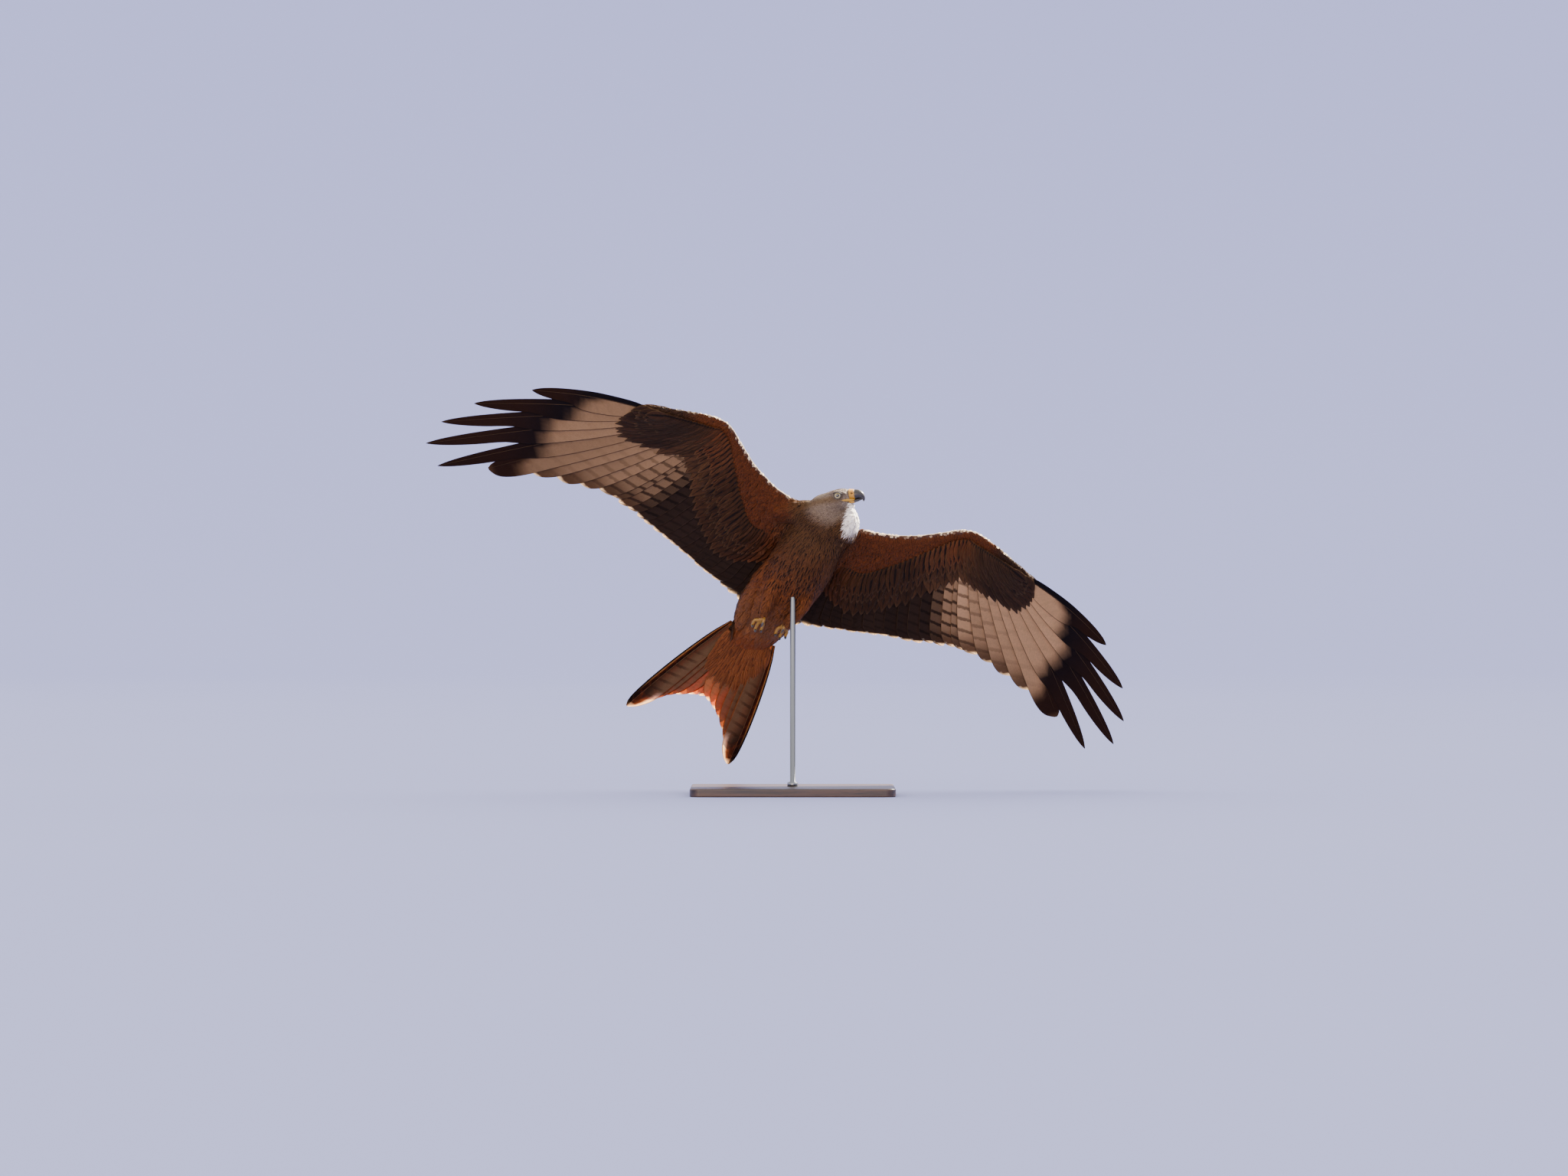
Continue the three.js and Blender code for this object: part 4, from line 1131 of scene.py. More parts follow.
def tail_covert_row(coat, below, start, reach, count, width):
    """One row of coverts: roots round the tail stump, tips close to the tail's own plane, and
    shafts that bulge away from it as the sine of the way."""
    share = np.clip(np.linspace(-1, 1, count) + RNG.normal(0, 0.4 / count, count), -1, 1)
    _, half, top, bottom = row_at(TAIL_STUMP, [start])[0]
    if below:
        facing, spread, fall, bulge = -1.0, 1.05, 0.02, -3.0
        height = (bottom + 1.5) * np.sqrt(1 - 0.8 * share**2)
        cut, ground, home = POINTED_CUT, UNDERTAIL, 0.0
    else:
        facing, spread, fall, bulge = 1.0, 0.86, -0.03, 2.0
        height = (top - 1.5) * (1 - 0.5 * share**2)
        cut, ground, home = COVERT_CUT, UPPERTAIL, 0.5
    centre = TAIL_ROOT[0] - (start - TAIL_ROOT[1]) * TAIL_LEAN
    roots = np.stack([centre + share * half * spread, np.full(count, float(start)), height], -1)
    way = unit(np.stack([0.2 * share - TAIL_LEAN, -np.ones(count), np.full(count, fall)], -1))
    length = reach * (1 - 0.34 * share**2) * RNG.uniform(0.78, 1.12, count)
    flat = (roots + way * length[:, None]) @ TAIL_FRAME
    flat[:, 2] = (TAIL_ROOT @ TAIL_FRAME)[2] + 2.8 * facing
    tips = flat @ TAIL_FRAME.T
    v = tipward(TAIL_COVERT_STEPS)
    shafts = roots[:, None] + (tips - roots)[:, None] * v[:, None]
    shafts = shafts + np.sin(math.pi * v)[:, None] * (0, 0, bulge)
    along = unit(tips - roots)[:, None]
    up = np.stack([0.5 * share, 0 * share, np.full(count, facing)], -1)[:, None]
    across = unit(np.cross(up, along))
    normals = unit(np.cross(along, across))
    across, normals = (np.broadcast_to(ways, shafts.shape) for ways in (across, normals))
    widths = width * RNG.uniform(0.9, 1.1, count)
    shape = vanes(shafts, across, normals, widths, cut, TUFT_COLUMNS, COVERT_VANE, 0.1, v)
    feather = shape[3]["feather"]
    tone = RNG.uniform(0.85, 1.15, count)[feather, None]
    place = np.stack([0.5 + share * 0.2, np.full(count, (start + 215) / 420 * 0.4 + home)], -1)
    coat.add(shape, ground * tone, BELLY_STREAK, (0.14, 0.0, 0.3), place[feather], PATCH)


def tail_coverts():
    """Rows of soft coverts over the roots of the tail, below it and above it."""
    coat = Coat("tail_coverts")
    for row in TAIL_COVERT_ROWS:
        tail_covert_row(coat, *row)
    return coat.finish(CONTOUR, "feathers_tail")


def soft_share(points):
    """How much of the smoothing reaches each point: all round the neck, nothing on the face."""
    off_neck = np.linalg.norm(points - (10, 115, 2), axis=1)
    face = smooth(16, 34, np.linalg.norm(to_head(points) - (0, 16, 2), axis=1))
    stump = smooth(-95, -125, points[:, 1])
    return np.maximum(smooth(115, 70, off_neck) * face, 0.4 * stump)


def neck_sections(inset):
    """Level ovals along the neck's line, moved towards the throat at its upper end."""
    share = np.linspace(0, 1, 24)
    line = curve_through(NECK_LINE, 24) + share[:, None] * NAPE_SHIFT
    _, half_width, half_height = row_at(NECK, share).T[..., None]
    x = line[:, :1] + (half_width - inset) * np.cos(circle(40))
    z = line[:, 2:] + (half_height - inset) * np.sin(circle(40))
    return np.stack([x, np.broadcast_to(line[:, 1:2], x.shape), z], -1)


def stump_shift(y):
    """Sideways place of the tail stump's middle, which leans with the tail."""
    return np.stack([TAIL_ROOT[0] - (y - TAIL_ROOT[1]) * TAIL_LEAN, 0 * y, 0 * y], -1)


def on_head(part):
    """A closed tube moved from the head's frame into the bird's."""
    points, quads, fans = part
    return from_head(points), quads, fans


def flesh_parts():
    """Closed tubes that overlap: trunk, neck, tail stump, thighs, wings, shoulders, flank, throat,
    skull and brows. They lie under the solids' surface by as much as the feathers rise."""
    parts = [closed_tube(body_rings(TRUNK, 40, 48, TRUNK_INSET)), closed_tube(neck_sections(NECK_INSET)),
             closed_tube(body_rings(TAIL_STUMP, 14, 32, STUMP_INSET, stump_shift))]
    for side in SIDES.values():
        parts.append(soft_tube(THIGH_LINE + (0, 0, 3.5), 14, THIGH_RADII - THIGH_INSETS, 20, side))
        parts.append(closed_tube(wing_rings(side, 44, 40, WING_INSET)))
    parts += [soft_tube(line, 14, SHOULDER_RADII, 20) for line in SHOULDER_LINES]
    parts.append(soft_tube(FLANK_LINE, 20, FLANK_RADII, 24))
    parts.append(on_head(soft_tube(THROAT_LINE, 14, THROAT_RADII, 24)))
    parts.append(on_head(closed_tube(body_rings(SKULL, 40, 40, SKULL_INSET))))
    parts += [on_head(soft_tube(BROW_PAD, 14, BROW_PAD_RADII, 12, side)) for side in SIDES.values()]
    return parts


def make_skin():
    """The skin: one closed surface round the flesh, smoothed, in a darker tone of the plumage."""
    piece = fused("skin", flesh_parts(), SKIN_VOXEL, 3)
    mesh = piece.data
    edges = np.empty(len(mesh.edges) * 2, np.int32)
    mesh.edges.foreach_get("vertices", edges)
    points = in_bird(vertex_values(mesh, "co"))
    points = relaxed(points, edges.reshape(-1, 2), soft_share(points), 45)
    mesh.vertices.foreach_set("co", in_room(points).astype(np.float32).ravel())
    mesh.update()
    normals = vertex_values(mesh, "normal") @ BIRD_TURN
    paint(mesh, "ground", plumage(points, normals)[0] * SKIN_TONE)
    return place_piece(piece, skin_material(), "feathers_body", "torso", "neck", "head",
                       "leg_right", "leg_left")


class Surface:
    """The skin in the bird's frame, for placing feathers and following it."""

    def __init__(self, piece):
        mesh = piece.data
        mesh.calc_loop_triangles()
        corners = np.empty(len(mesh.loop_triangles) * 3, np.int32)
        mesh.loop_triangles.foreach_get("vertices", corners)
        self.points = in_bird(vertex_values(mesh, "co"))
        self.triangles = corners.reshape(-1, 3)
        self.normals = vertex_values(mesh, "normal") @ BIRD_TURN
        self.tree = BVHTree.FromPolygons(self.points.tolist(), self.triangles.tolist())

    def scattered(self, count):
        """Random places, as many for each square millimetre, with their normals."""
        a, b, c = (self.points[self.triangles[:, k]] for k in range(3))
        area = np.linalg.norm(np.cross(b - a, c - a), axis=1)
        chosen = RNG.choice(len(area), count, p=area / area.sum())
        r, s = np.sqrt(RNG.random((count, 1))), RNG.random((count, 1))
        weights = (1 - r, r * (1 - s), r * s)
        corners = self.triangles[chosen]
        points = sum(w * self.points[corners[:, k]] for k, w in enumerate(weights))
        normals = sum(w * self.normals[corners[:, k]] for k, w in enumerate(weights))
        return points, unit(normals)

    def nearest(self, points):
        """The nearest place on the skin to each point, and its normal."""
        hits = [self.tree.find_nearest(p) for p in points.tolist()]
        return np.array([h[0] for h in hits]), np.array([h[1] for h in hits])


# Share of the body's feathers that are bold, by how much these are longer and lifted, and how much
# broader their streaks are and how much narrower those of the others
BOLD_SHARE = 0.3
BOLD_LENGTH, BOLD_LIFT, BOLD_STREAK, PLAIN_STREAK = 0.3, 0.7, 0.35, 0.55
# No root lies this near the eye, or past this place ahead above the chin; the feathers in front of
# the eye, within this reach of it, end at the lids
EYE_CLEAR, BILL_ROOT, CHIN_HEIGHT, EYE_REACH, LID_CLEAR = 7.0, 28.5, -12, 16, 6.4
# Least straightness of a shaft, as the cosine between two strides, and least share of its length
LEAST_STRAIGHT, LEAST_SPAN = 0.55, 0.75
# Borders of the coat's pieces: the wings' along x, the head's as a radius and the neck's along y
WING_FROM, HEAD_WITHIN, NECK_FROM, NECK_HALVES = 58, 31, 60, 5
# Places tried on the skin, and the spacings between which the thinning chooses
TRIED = 260000
SPACINGS = np.array([1.6, 2.3, 3.2, 4.4, 6.0])
# Distances from the head's centre with the length and width of feathers there, and lengths on the
# head itself by how far forward they grow
LENGTHS = ([30, 50, 75, 110, 160], [9, 13, 19, 26, 30])
WIDTHS = ([30, 50, 75, 110, 160], [2.8, 3.8, 5.6, 7.6, 8.6])
HEAD_LENGTHS = ([-30, -10, 12, 30], [8.5, 6.5, 4.6, 2.6])
# Degrees by which the wing's feathers turn outward, along the wing
OUTWARD_TURN = ([40, 70, 150, 240, 290, 366], [0, 4, 14, 28, 50, 70])
# Middle of the eye's outer face, in the head's frame
EYE_FACE = np.array([17.5, 12, 4.5])


def thinned(points, spacing):
    """Indices of points thinned to one in each cube, in cubes as wide as the spacing there."""
    level = np.argmin(np.abs(np.log(spacing[:, None] / SPACINGS)), axis=1)
    cells = np.floor(points / SPACINGS[level][:, None] + 100 * level[:, None]).astype(np.int64)
    keys = ((level * 4001 + cells[:, 0]) * 4001 + cells[:, 1]) * 4001 + cells[:, 2]
    return np.unique(keys, return_index=True)[1]


def lie(points):
    """Direction in which feathers lie: backward on the body, away from the bill on the head, and
    along the flight feathers on the wings."""
    backward = np.broadcast_to((0.0, -1.0, 0.0), points.shape)
    head_back = np.broadcast_to(np.array([0.0, -1.0, -0.12]) @ HEAD_TURN.T, points.shape)
    direction = blend(head_back, backward, smooth(25, 75, off_head(points)))
    x = np.abs(points[:, 0])
    turned_out = np.radians(np.interp(x, *OUTWARD_TURN))
    sideways = np.sign(points[:, 0]) * np.sin(turned_out)
    wing = np.stack([sideways, -np.cos(turned_out), np.zeros_like(x)], -1)
    return unit(blend(direction, wing, smooth(44, 66, x)))


def feather_sizes(points, normals):
    """Length, width and lift of the small feathers by place, and their spacing."""
    far, x, y = off_head(points), np.abs(points[:, 0]), points[:, 1]
    near = far < 34
    head = np.interp(to_head(points)[:, 1], *HEAD_LENGTHS)
    length = np.where(near, head, np.interp(far, *LENGTHS))
    width = np.where(near, head * 0.34, np.interp(far, *WIDTHS))
    under_tail = smooth(-105, -150, y)
    back = smooth(0.1, 0.5, normals[:, 2]) * smooth(95, 60, y)
    length = length + 16 * under_tail + 8 * back
    width = width + 3 * under_tail + 6 * back
    wing, behind = smooth(52, 66, x), behind_lead(x, y)
    edge = smooth(22, 6, behind)
    brim = wing * smooth(9, 6, behind) * smooth(-0.75, -0.4, normals[:, 2])
    length = part_way(length, 19 - 8 * edge, wing) - 5.5 * brim
    width = part_way(width, 9.7 - 4 * edge, wing) - 1.2 * brim
    lift = np.where(near, 0.1 * length + 0.1, np.minimum(0.12 * length + 0.3, 3.2))
    return length, width, lift, np.clip(width * 0.62, 1.5, 7.5)


def off_eye(inward):
    """Distance of points in the head's frame from the face of the eye on their side."""
    return np.linalg.norm(on_right(inward) - EYE_FACE, axis=1)


def dot(first, second):
    """Dot product of each pair of vectors."""
    return np.einsum("...k,...k->...", first, second)


def led_shafts(surface, points, normals, length):
    """Shafts led over the skin, with the normal at each of their places.

    Each stride goes along the lie, turned a little by a sway of the feather's own, flat to the
    skin, and drops to the nearest place on it. The normal is the mean of the last two. Where a
    wing feather would stand on the skin, as at the leading edge, it is turned outward instead.
    """
    sway = RNG.normal(0, 0.09, (len(points), 1))
    stride = (length / (SMALL_STEPS - 1))[:, None]
    shafts, ups = [points], [normals]
    place, normal = points, normals
    for _ in range(SMALL_STEPS - 1):
        heading = lie(place)
        standing = np.abs(dot(heading, normal)) * (np.abs(place[:, 0]) > 55)
        heading = heading + (standing**2 * np.sign(place[:, 0]))[:, None] * (1, 0, 0)
        heading = heading + sway * np.cross(normal, heading)
        heading = unit(heading - normal * dot(heading, normal)[:, None])
        place, face = surface.nearest(place + heading * stride)
        normal = unit(normal + face)
        shafts.append(place)
        ups.append(normal)
    return np.stack(shafts, 1), np.stack(ups, 1)


def coat_regions(points):
    """The coat's pieces: which feathers each has, its slot and the cut of its feathers."""
    x, y, z = points.T
    wing, head = np.abs(x) > WING_FROM, off_head(points) < HEAD_WITHIN
    neck, body = ~wing & ~head & (y > NECK_FROM), ~wing & ~head & (y <= NECK_FROM)
    return {
        "coat_head": (head & ~wing, "feathers_head", POINTED_CUT),
        "coat_neck_front": (neck & (z < NECK_HALVES), "feathers_body", POINTED_CUT),
        "coat_neck_back": (neck & (z >= NECK_HALVES), "feathers_body", POINTED_CUT),
        "coat_body": (body, "feathers_body", TUFT_CUT),
        "coat_wing_right": (wing & (x > 0), "feathers_wing", TUFT_CUT),
        "coat_wing_left": (wing & (x < 0), "feathers_wing", TUFT_CUT),
    }


def small_feathers(skin):
    """Contour feathers over the whole skin, each following it from its root along the lie."""
    surface = Surface(skin)
    points, normals = surface.scattered(TRIED)
    length, width, lift, spacing = feather_sizes(points, normals)
    keep = thinned(points, spacing)
    inward = to_head(points[keep])
    bill = (inward[:, 1] > BILL_ROOT) & (inward[:, 2] > CHIN_HEIGHT)
    keep = keep[(off_eye(inward) > EYE_CLEAR) & ~bill]
    points, normals, length, width, lift = (a[keep] for a in (points, normals, length, width, lift))
    inward = to_head(points)
    gap = off_eye(inward)
    ahead = (inward[:, 1] > EYE_FACE[1]) & (gap < EYE_REACH)
    length = np.where(ahead, np.minimum(length, np.maximum(gap - LID_CLEAR, 1.3)), length)
    length = length * RNG.uniform(0.82, 1.15, len(points))
    width = width * RNG.uniform(0.85, 1.15, len(points))
    ground, streak, streak_width = plumage(points, normals)
    past_head = smooth(30, 45, off_head(points)) * smooth(66, 56, np.abs(points[:, 0]))
    bold = (RNG.random(len(points)) < BOLD_SHARE) * past_head
    length = length * (1 + BOLD_LENGTH * bold)
    lift = lift + BOLD_LIFT * bold
    streak_width = streak_width * (1 + BOLD_STREAK * bold - PLAIN_STREAK * past_head * (1 - bold))
    shafts, ups = led_shafts(surface, points, normals, length)
    # Feathers that fold back or bunch up on a crease of the skin are left out
    strides = np.diff(shafts, axis=1)
    straight = dot(unit(strides[:, 1:]), unit(strides[:, :-1])).min(1)
    span = np.linalg.norm(shafts[:, -1] - shafts[:, 0], axis=1)
    good = (straight > LEAST_STRAIGHT) & (span > LEAST_SPAN * length)
    shafts, ups, points, normals, width, lift, ground, streak, streak_width = (
        a[good] for a in (shafts, ups, points, normals, width, lift, ground, streak, streak_width)
    )
    across = unit(np.cross(ups, unit(np.gradient(shafts, axis=1))))
    raised = (lift[:, None] + 0.5) * smooth(0, 0.9, np.linspace(0, 1, SMALL_STEPS)) - 0.5
    shafts = shafts + ups * raised[..., None]
    ground = ground * RNG.normal(1, 0.1, (len(points), 1))
    x, y, z = points.T
    rim = np.where(off_head(points) < 60, 0.2, 0.22)
    marks = np.stack([streak_width, np.zeros_like(rim), rim], -1)
    round_body = np.stack([np.arctan2(z, x) / (2 * math.pi) + 0.5, (y + 215) / 420], -1)
    on_wing = wing_places(np.abs(x), y, normals[:, 2] > 0, 400)
    for name, (chosen, slot, cut) in coat_regions(points).items():
        coat = Coat(name)
        frames = shafts[chosen], across[chosen], ups[chosen]
        shape = vanes(*frames, width[chosen], cut, TUFT_COLUMNS, SMALL_VANE, 0.1)
        grid = shape[3]
        f = grid["feather"]
        tint = ground[chosen][f] * (0.85 + 0.3 * grid["v"])[:, None]
        home = on_wing if "wing" in name else round_body
        coat.add(shape, tint, streak[chosen][f], marks[chosen][f], home[chosen][f], PATCH)
        coat.finish(CONTOUR, slot)
    return surface


# Head: eyes, lids, cere and bill, in the head's frame
EYE_PLACE = np.array([16.2, 12, 4.5])
EYE_RADIUS = 7.2
EYE_TURN_FORWARD = 14
GAPE_LINE = [[6.4, 37.5, -6.0], [8.9, 32, -5.9], [11.2, 27.5, -5.5], [14.8, 22, -4.9], [18.0, 17, -4.0]]
GAPE_RADII = [0.9, 2.1, 2.3, 1.7, 0.3]
# Bare ridge of the brow, which shades the upper third of the eye
BROW_LINE = [[16.2, 3.0, 7.6], [20.4, 7.0, 9.3], [22.2, 12.0, 9.3], [20.6, 17.5, 7.9], [16.2, 23.0, 5.2]]
BROW_RADII = [0.3, 1.2, 1.5, 1.2, 0.3]
NOSTRIL_LINE = [[8.7, 33.3, 4.6], [8.7, 34.8, 5.2], [8.3, 36.0, 6.2]]
NOSTRIL_RADII = [0.3, 0.9, 0.3]
CERE_ROWS = np.array([[30.0, 10.3, 13.3, -6.1], [34, 9, 12.6, -6.1], [38.3, 7.8, 11.6, -6.1]])
LOWER_CERE_ROWS = np.array([[29, 9.7, -5.9, -12.1], [33, 8.6, -5.5, -11.6], [36.5, 7.3, -5.4, -11.1]])
# Upper bill: rows of share of the way, y, z, half height and half width
BILL_ROWS = np.array([
    [0, 38.2, 2.7, 8.8, 7.7], [0.3, 43, 2.2, 8, 6.4], [0.52, 47.2, 0, 6.6, 4.9],
    [0.7, 50.2, -3.6, 4.6, 3.4], [0.86, 51.6, -7.6, 2.6, 1.9], [1, 51.2, -11, 0.5, 0.4],
])
LOWER_BILL_ROWS = np.array([
    [30, 9.2, -6.0, -11.6], [36, 7.2, -5.4, -11.0], [41, 5.6, -5.0, -10.0], [45.5, 4.2, -5.0, -8.9],
    [48.4, 2.6, -5.6, -8.0], [50.4, 0.8, -6.6, -7.6],
])


def head_piece(name, parts, material, slot, *nodes, layers=None):
    """Piece made of closed shapes in the head's frame."""
    points, quads, fans = joined(parts)
    piece = make_mesh(name, in_room(from_head(points)), [quads, fans], layers)
    return place_piece(piece, material, slot, *nodes)


def eye_axes(side):
    """The eye's line of sight, turned forward from straight out, and the level and upright
    directions across it."""
    forward = math.radians(EYE_TURN_FORWARD)
    sight = np.array([side * math.cos(forward), math.sin(forward), 0.0])
    up = np.array([0.0, 0.0, 1.0])
    return sight, np.cross(up, sight), up


def eye_rings(side, steps, around):
    """Ball with its pole on the line of sight: angle from the pole down, then round it. The
    cornea bulges as a steep bell round the pole."""
    sight, level, up = eye_axes(side)
    polar = np.linspace(0.04, math.pi - 0.04, steps)[:, None, None]
    angle = circle(around)[None, :, None]
    bulge = 1 + 0.06 * np.exp(-((polar / 0.55) ** 4))
    ring = np.cos(polar) * sight + np.sin(polar) * (np.cos(angle) * level + np.sin(angle) * up)
    return EYE_PLACE * (side, 1, 1) + EYE_RADIUS * bulge * ring, polar


def lid_ring(side):
    """Lids: a soft ring round the eye, its upper half pressed down by the brow."""
    sight, level, up = eye_axes(side)
    round_eye, round_tube = circle(48)[:, None, None], circle(10)[None, :, None]
    rise = np.sin(round_eye)
    across = np.cos(round_eye) * level + rise * up * np.where(rise > 0, 0.8, 0.94)
    thick = 0.9 + 0.9 * np.maximum(rise, 0) ** 2
    ring = EYE_PLACE * (side, 1, 1) + sight * 4.3 + across * (5.8 + thick * np.cos(round_tube))
    points = (ring + sight * (thick + 0.3) * np.sin(round_tube)).reshape(-1, 3)
    quads = ring_faces(49, 10) % len(points)
    if enclosed(points, quads) < 0:
        quads = quads[:, ::-1]
    return points, quads, np.zeros((0, 3), int)


def cere_tube():
    """Cere with a dent at each nostril, deepest in the middle as a bell curve."""
    rings = body_rings(CERE_ROWS, 30, 72)
    rings[..., 0] *= 1 - 0.3 * bell(on_right(rings), (8.6, 34.6, 5.2), (4, 1.5, 1.1))
    return closed_tube(rings)


def bill_tube():
    """Hooked upper bill: ovals across a curved line, narrower at the ridge than at the edge."""
    _, y, z, height, half = row_at(BILL_ROWS, np.linspace(0, 1, 34)).T
    slope = np.arctan2(np.gradient(z), np.gradient(y))
    slope[0] = 0
    y, z, height, half, slope = (a[:, None] for a in (y, z, height, half, slope))
    angle = circle(36)
    x = half * np.cos(angle) * (1 - 0.18 * np.maximum(np.sin(angle), 0))
    rise = height * np.sin(angle)
    return closed_tube(np.stack([x, y - np.sin(slope) * rise, z + np.cos(slope) * rise], -1))


def eye_material():
    """Pale cream iris with fine rays, a black pupil and a dark rim, from the polar angle."""
    material, nodes, shader = new_material("eye", Roughness=0.06, Coat_Weight=1.0, Coat_Roughness=0.03)
    polar = nodes.made("ShaderNodeSeparateColor", 0, {0: nodes.painted("ground")})
    iris_rays = nodes.noise(nodes.place(), 900.0, 3.0)
    seen = nodes.mix(iris_rays, colour4("71653f"), colour4("c4b682"))
    seen = nodes.mix(nodes.step(0.2, 0.25, polar), colour4("b39a4a"), seen)
    seen = nodes.mix(nodes.step(0.185, 0.195, polar), (0.003, 0.003, 0.003, 1), seen)
    seen = nodes.mix(nodes.step(0.36, 0.41, polar), seen, colour4("17120e"))
    nodes.feed(shader.inputs["Base Color"], seen)
    return material


def horn_material():
    """Blackish horn of bill and claws, cloudy and slightly glossy."""
    material, nodes, shader = new_material("horn", Coat_Weight=0.3, Coat_Roughness=0.25)
    noise = nodes.noise(nodes.place(), 300.0, 4.0)
    tint = nodes.mix(noise, colour4("0d0c0c"), colour4("3a332e"))
    dress(nodes, shader, tint, nodes.math("MULTIPLY_ADD", noise, 0.3, 0.2), noise, 0.0003, 0.2)
    return material


def yellow_skin_material(name, pale, deep, scale, depth):
    """Bare yellow skin: small scutes as bumps, deeper colour in the creases."""
    material, nodes, shader = new_material(name, Subsurface_Weight=0.08, Coat_Weight=0.15)
    place = nodes.place()
    crease = nodes.made("ShaderNodeTexVoronoi", "Distance", {"Vector": place, "Scale": scale},
                        feature="DISTANCE_TO_EDGE")
    plate = nodes.step(0.0, 0.22, crease)
    noise = nodes.noise(place, 180.0, 3.0)
    tint = nodes.mix(plate, colour4("9a6a12"), nodes.mix(noise, colour4(deep), colour4(pale)))
    dress(nodes, shader, tint, nodes.math("MULTIPLY_ADD", noise, 0.25, 0.35), plate, depth, 0.5)
    return material


def head_details(horn):
    """Eyes with their lids, nostrils and brow ridges, cere, gape and both halves of the bill."""
    eyes = eye_material()
    lids, _, lid_shader = new_material("lids", Roughness=0.6)
    lid_shader.inputs["Base Color"].default_value = colour4("3d342c")
    cere_skin = yellow_skin_material("cere_skin", "d3a02a", "b27c14", 1400.0, 0.00006)
    for name, side in SIDES.items():
        rings, polar = eye_rings(side, 40, 48)
        tone = np.concatenate([np.repeat(polar.ravel() / math.pi * 1.6, 48), [0.0, 1.6]])
        head_piece(f"eye_ball_{name}", [closed_tube(rings)], eyes, "eye", f"eye_{name}",
                   layers={"ground": np.repeat(tone[:, None], 3, 1)})
        slit = soft_tube(NOSTRIL_LINE, 8, NOSTRIL_RADII, 10, side)
        ridge = soft_tube(BROW_LINE, 24, BROW_RADII, 16, side, 0.75)
        head_piece(f"eye_lids_{name}", [lid_ring(side), slit, ridge], lids, "cere_skin")
    head_piece("cere_shown", [cere_tube()], cere_skin, "cere_skin", "cere")
    gape = [soft_tube(GAPE_LINE, 20, GAPE_RADII, 16, side) for side in SIDES.values()]
    gape.append(closed_tube(body_rings(LOWER_CERE_ROWS, 10, 28)))
    head_piece("gape", gape, cere_skin, "cere_skin")
    head_piece("bill_upper", [bill_tube()], horn, "horn", "beak_upper")
    lower = closed_tube(body_rings(LOWER_BILL_ROWS, 16, 28))
    head_piece("bill_lower", [lower], horn, "horn", "beak_lower")


# Feet, drawn up under the belly: for each toe its place across the foot, its line and its claw's
# line, both as distance behind the ankle and below it
ANKLE = np.array([20, -88, -58.0])
HEEL = np.array([21, -70, -56.0])
TOE_SPREAD = 6.5
TOES = [
    (0.3, [[8, 0], [17, 3], [20, 8]], [[19, 7], [17.5, 12.5], [12, 13.5]]),
    (1.3, [[6, -1], [12, 2], [14, 7]], [[13.4, 6], [12, 11], [8, 12]]),
    (-0.8, [[7, -1], [14, 2], [17, 7]], [[16.3, 6], [14.6, 11], [10, 12]]),
    (-0.2, [[-7, 3], [-7, 8], [-3, 11]], [[-4, 10.4], [0.5, 13.5], [6, 12.5]]),
]
SHANK_RADII = [4, 4, 5.2]
TOE_RADII = [3.4, 2.9, 2.7, 2.5, 2.2]
CLAW_RADII = [2.0, 1.7, 1.1, 0.3]
# How far each foot is drawn forward and up into the belly feathers
FOOT_SUNK = {"right": [0, 6, 2], "left": [0, 6, 9]}


def toe_points(across, places):
    """Points of a right toe: its place across the foot widens a little with distance behind."""
    back, below = np.array(places, float).T
    x = ANKLE[0] + across * TOE_SPREAD * (1 + 0.02 * back)
    return np.stack([x, ANKLE[1] - back, ANKLE[2] - below], -1)


def feet(horn):
    """Feet with their toes fused into one skin, and the claws as pieces of horn."""
    foot_skin = yellow_skin_material("foot_skin", "92701a", "5a4210", 620.0, 0.0003)
    for name, side in SIDES.items():
        sunk = np.array(FOOT_SUNK[name], float)
        shank = np.linspace(HEEL * (side, 1, 1), ANKLE * (side, 1, 1), 6)
        parts, claws = [closed_tube(tube_rings(shank, SHANK_RADII, 20))], []
        for across, toe, claw in TOES:
            line = np.concatenate([[ANKLE], toe_points(across, toe)])
            parts.append(soft_tube(line, 16, TOE_RADII, 16, side))
            claws.append(soft_tube(toe_points(across, claw), 16, CLAW_RADII, 14, side))
        parts = [(points + sunk, *faces) for points, *faces in parts]
        foot = fused(f"foot_shown_{name}", parts, FOOT_VOXEL, 3)
        place_piece(foot, foot_skin, "foot_skin", f"foot_{name}")
        points, quads, fans = joined(claws)
        piece = make_mesh(f"claws_{name}", in_room(points + sunk), [quads, fans])
        place_piece(piece, horn, "horn", *[f"claw_{name}_{i + 1}" for i in range(len(TOES))])


# Stand: a wooden base with rounded edges and a steel rod with a collar up to the belly
BASE_SIZE = np.array([340, 260, 14.0])
BASE_CORNER = 16
BASE_EDGE = 2.2
ROD_RADIUS = 4.5
COLLAR_RADIUS, COLLAR_HEIGHT = 9.0, 6.0
# Height at which the search for the belly starts, and how far the rod goes on past it
SEARCH_HEIGHT = 100.0
ROD_PAST = 3.0


def turned(radii, heights, around):
    """Rings of a turned shape: a circle of each radius at its height."""
    angle = circle(around)
    x, y = np.outer(radii, np.cos(angle)), np.outer(radii, np.sin(angle))
    return np.stack([x, y, np.broadcast_to(np.reshape(heights, (-1, 1)), x.shape)], -1)


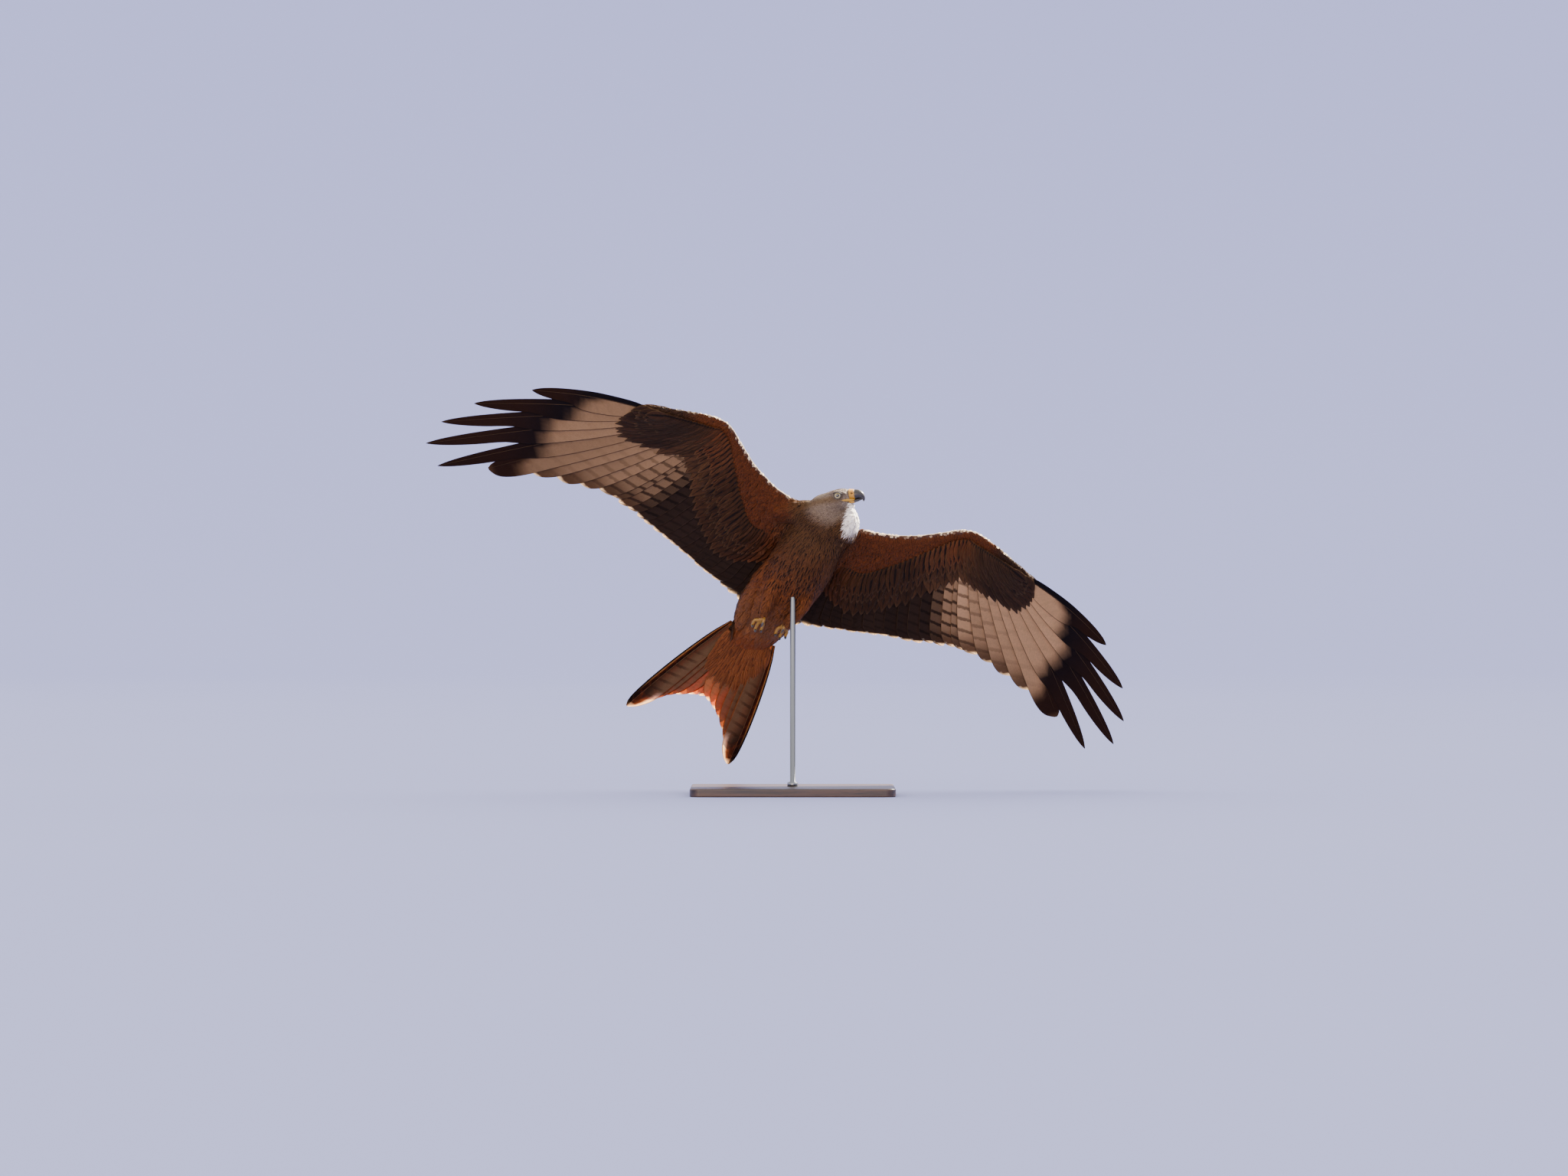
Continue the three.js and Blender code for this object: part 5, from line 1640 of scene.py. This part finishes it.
def base_rings():
    """Rounded rectangle carried up the edge of the base: its corner is a quarter circle, and the
    outline pulls in along a quarter circle at the lower and upper edge."""
    turn_up = np.linspace(0, math.pi / 2, 6)
    low = BASE_EDGE * (1 - np.stack([np.sin(turn_up), np.cos(turn_up)], -1))
    high = np.stack([low[::-1, 0], BASE_SIZE[2] - low[::-1, 1]], -1)
    inset, z = np.concatenate([low, high]).T[:, :, None]
    quarters = np.repeat(np.arange(4), 10)
    angle = np.tile(np.linspace(0, math.pi / 2, 10), 4) + quarters * math.pi / 2
    across, along = np.array([[1, 1], [-1, 1], [-1, -1], [1, -1]])[quarters].T
    half_x, half_y = BASE_SIZE[:2] / 2 - BASE_CORNER
    x = across * half_x + (BASE_CORNER - inset) * np.cos(angle)
    y = along * half_y + (BASE_CORNER - inset) * np.sin(angle)
    return np.stack([x, y, np.broadcast_to(z, x.shape)], -1)


def rod_top(surface):
    """Height at which the whole rod has gone into the skin: the longest of twelve upward rays."""
    starts = turned([ROD_RADIUS], [SEARCH_HEIGHT], 12)[0]
    upward = Vector(BIRD_TURN.T @ (0, 0, 1))
    hits = [surface.tree.ray_cast(Vector(start), upward) for start in in_bird(starts * MM)]
    return SEARCH_HEIGHT + max(hit[3] for hit in hits if hit[0])


def stand(surface):
    """The base with its wood grain, and the rod with its brushing."""
    wood, nodes, shader = new_material("base_wood", Coat_Weight=0.25, Coat_Roughness=0.3)
    stretched = nodes.place((3.0, 60.0, 60.0))
    grain, pores = nodes.noise(stretched, 2.2, 6.0), nodes.noise(stretched, 14.0, 2.0)
    tint = nodes.mix(nodes.step(0.3, 0.7, grain), colour4("1f140e"), colour4("4a3222"))
    tint = nodes.mix(nodes.step(0.55, 0.75, pores), tint, colour4("140d09"))
    dress(nodes, shader, tint, nodes.math("MULTIPLY_ADD", grain, 0.25, 0.3), pores, 0.0003, 0.25)
    points, quads, fans = closed_tube(base_rings())
    base = make_mesh("stand_base_shown", points * MM, [quads, fans], smooth_faces=False)
    place_piece(base, wood, "base_wood", "stand_base")
    steel, nodes, shader = new_material("rod_steel", Metallic=1.0)
    brush = nodes.noise(nodes.place((400.0, 400.0, 6.0)), 1.0, 3.0)
    tint = nodes.mix(brush, colour4("6f7275"), colour4("95989b"))
    dress(nodes, shader, tint, nodes.math("MULTIPLY_ADD", brush, 0.2, 0.25), brush, 0.0001, 0.2)
    foot, top = BASE_SIZE[2], rod_top(surface) + ROD_PAST
    heights = [foot, foot + COLLAR_HEIGHT, foot + COLLAR_HEIGHT + 2, top - 1, top]
    radii = [COLLAR_RADIUS, COLLAR_RADIUS, ROD_RADIUS, ROD_RADIUS, ROD_RADIUS - 0.6]
    points, quads, fans = closed_tube(turned(radii, heights, 48))
    rod = make_mesh("stand_rod_shown", points * MM, [quads, fans])
    place_piece(rod, steel, "rod_steel", "stand_rod")


# Floor, light and camera, in metres. The even light has a tint and a strength, and each lamp a
# name, a place, a size, a power and a tint
SKY_TINT, SKY_STRENGTH = (0.98, 0.96, 1.0, 1), 1.6
LAMPS = (
    ("key", (3.6, 2.4, 4.2), 0.7, 4200, (1.0, 0.93, 0.82)),
    ("fill", (-1.0, -4.6, 1.4), 3.0, 150, (1.0, 0.78, 0.55)),
)


def stage():
    """A round pale floor that curves up into a low wall, far beyond the camera."""
    turn_up = np.linspace(0, math.pi / 2, 24)
    radii = [0.01, 4.0, 9.0, *(13 + 6 * np.sin(turn_up))]
    heights = [0, 0, 0, *(6 * (1 - np.cos(turn_up)))]
    rings = turned(radii, heights, 96)
    faces = ring_faces(len(radii), 96)[:, ::-1]
    floor = make_mesh("floor", rings.reshape(-1, 3), [faces, np.arange(96)[None]])
    material, nodes, shader = new_material("pale_floor", Roughness=0.9)
    cloud = nodes.noise(nodes.place(), 0.35, 2.0)
    nodes.feed(shader.inputs["Base Color"], nodes.mix(cloud, colour4("bfc3f0"), colour4("c4c8f2")))
    floor.data.materials.append(material)
    return floor


def area_light(lit, name, place, size, power, tint):
    """A round soft lamp that looks at the bird and lights one collection."""
    data = bpy.data.lights.new(name, "AREA")
    data.shape = "DISK"
    data.size = size
    data.energy = power
    data.color = tint
    lamp = placed(name, data)
    lamp.location = place
    way = BODY_CENTRE * MM - place
    lamp.rotation_euler = (math.atan2(math.hypot(way[0], way[1]), -way[2]), 0,
                           math.atan2(way[1], way[0]) - math.pi / 2)
    lamp.visible_camera = False
    lamp.light_linking.receiver_collection = lit


def lights(floor):
    """Even light all round, and two lamps for every piece but the floor: a strong one high behind
    the bird, and a weak one in front of it."""
    world = bpy.data.worlds.new("studio")
    bpy.context.scene.world = world
    world.use_nodes = True
    sky = world.node_tree.nodes["Background"]
    sky.inputs["Color"].default_value = SKY_TINT
    sky.inputs["Strength"].default_value = SKY_STRENGTH
    lit = bpy.data.collections.new("lit by the lamps")
    for piece in bpy.context.scene.objects:
        if piece.type == "MESH" and piece != floor:
            lit.objects.link(piece)
    for lamp in LAMPS:
        area_light(lit, *lamp)


def camera():
    """Level camera at the photograph's angle: the body centre falls on its pixel."""
    data = bpy.data.cameras.new("camera")
    data.sensor_width = SENSOR_WIDTH
    data.lens = CAMERA_DISTANCE / MM / MM_PER_PIXEL * SENSOR_WIDTH / IMAGE_SIZE[0]
    data.clip_end = 100
    right, up = (np.array(IMAGE_SIZE) / 2 - CENTRE_PIXEL) * MM_PER_PIXEL * MM
    view = placed("camera", data)
    view.location = BODY_CENTRE * MM + (right, -CAMERA_DISTANCE, -up)
    view.rotation_euler = (math.pi / 2, 0, 0)
    bpy.context.scene.camera = view


camera()
floor = stage()
skin = make_skin()
surface = small_feathers(skin)
for side_name, side in SIDES.items():
    flight_feathers(side_name, side)
    wing_tiers(side_name, side)
tail_feathers()
tail_coverts()
horn = horn_material()
head_details(horn)
feet(horn)
stand(surface)
lights(floor)
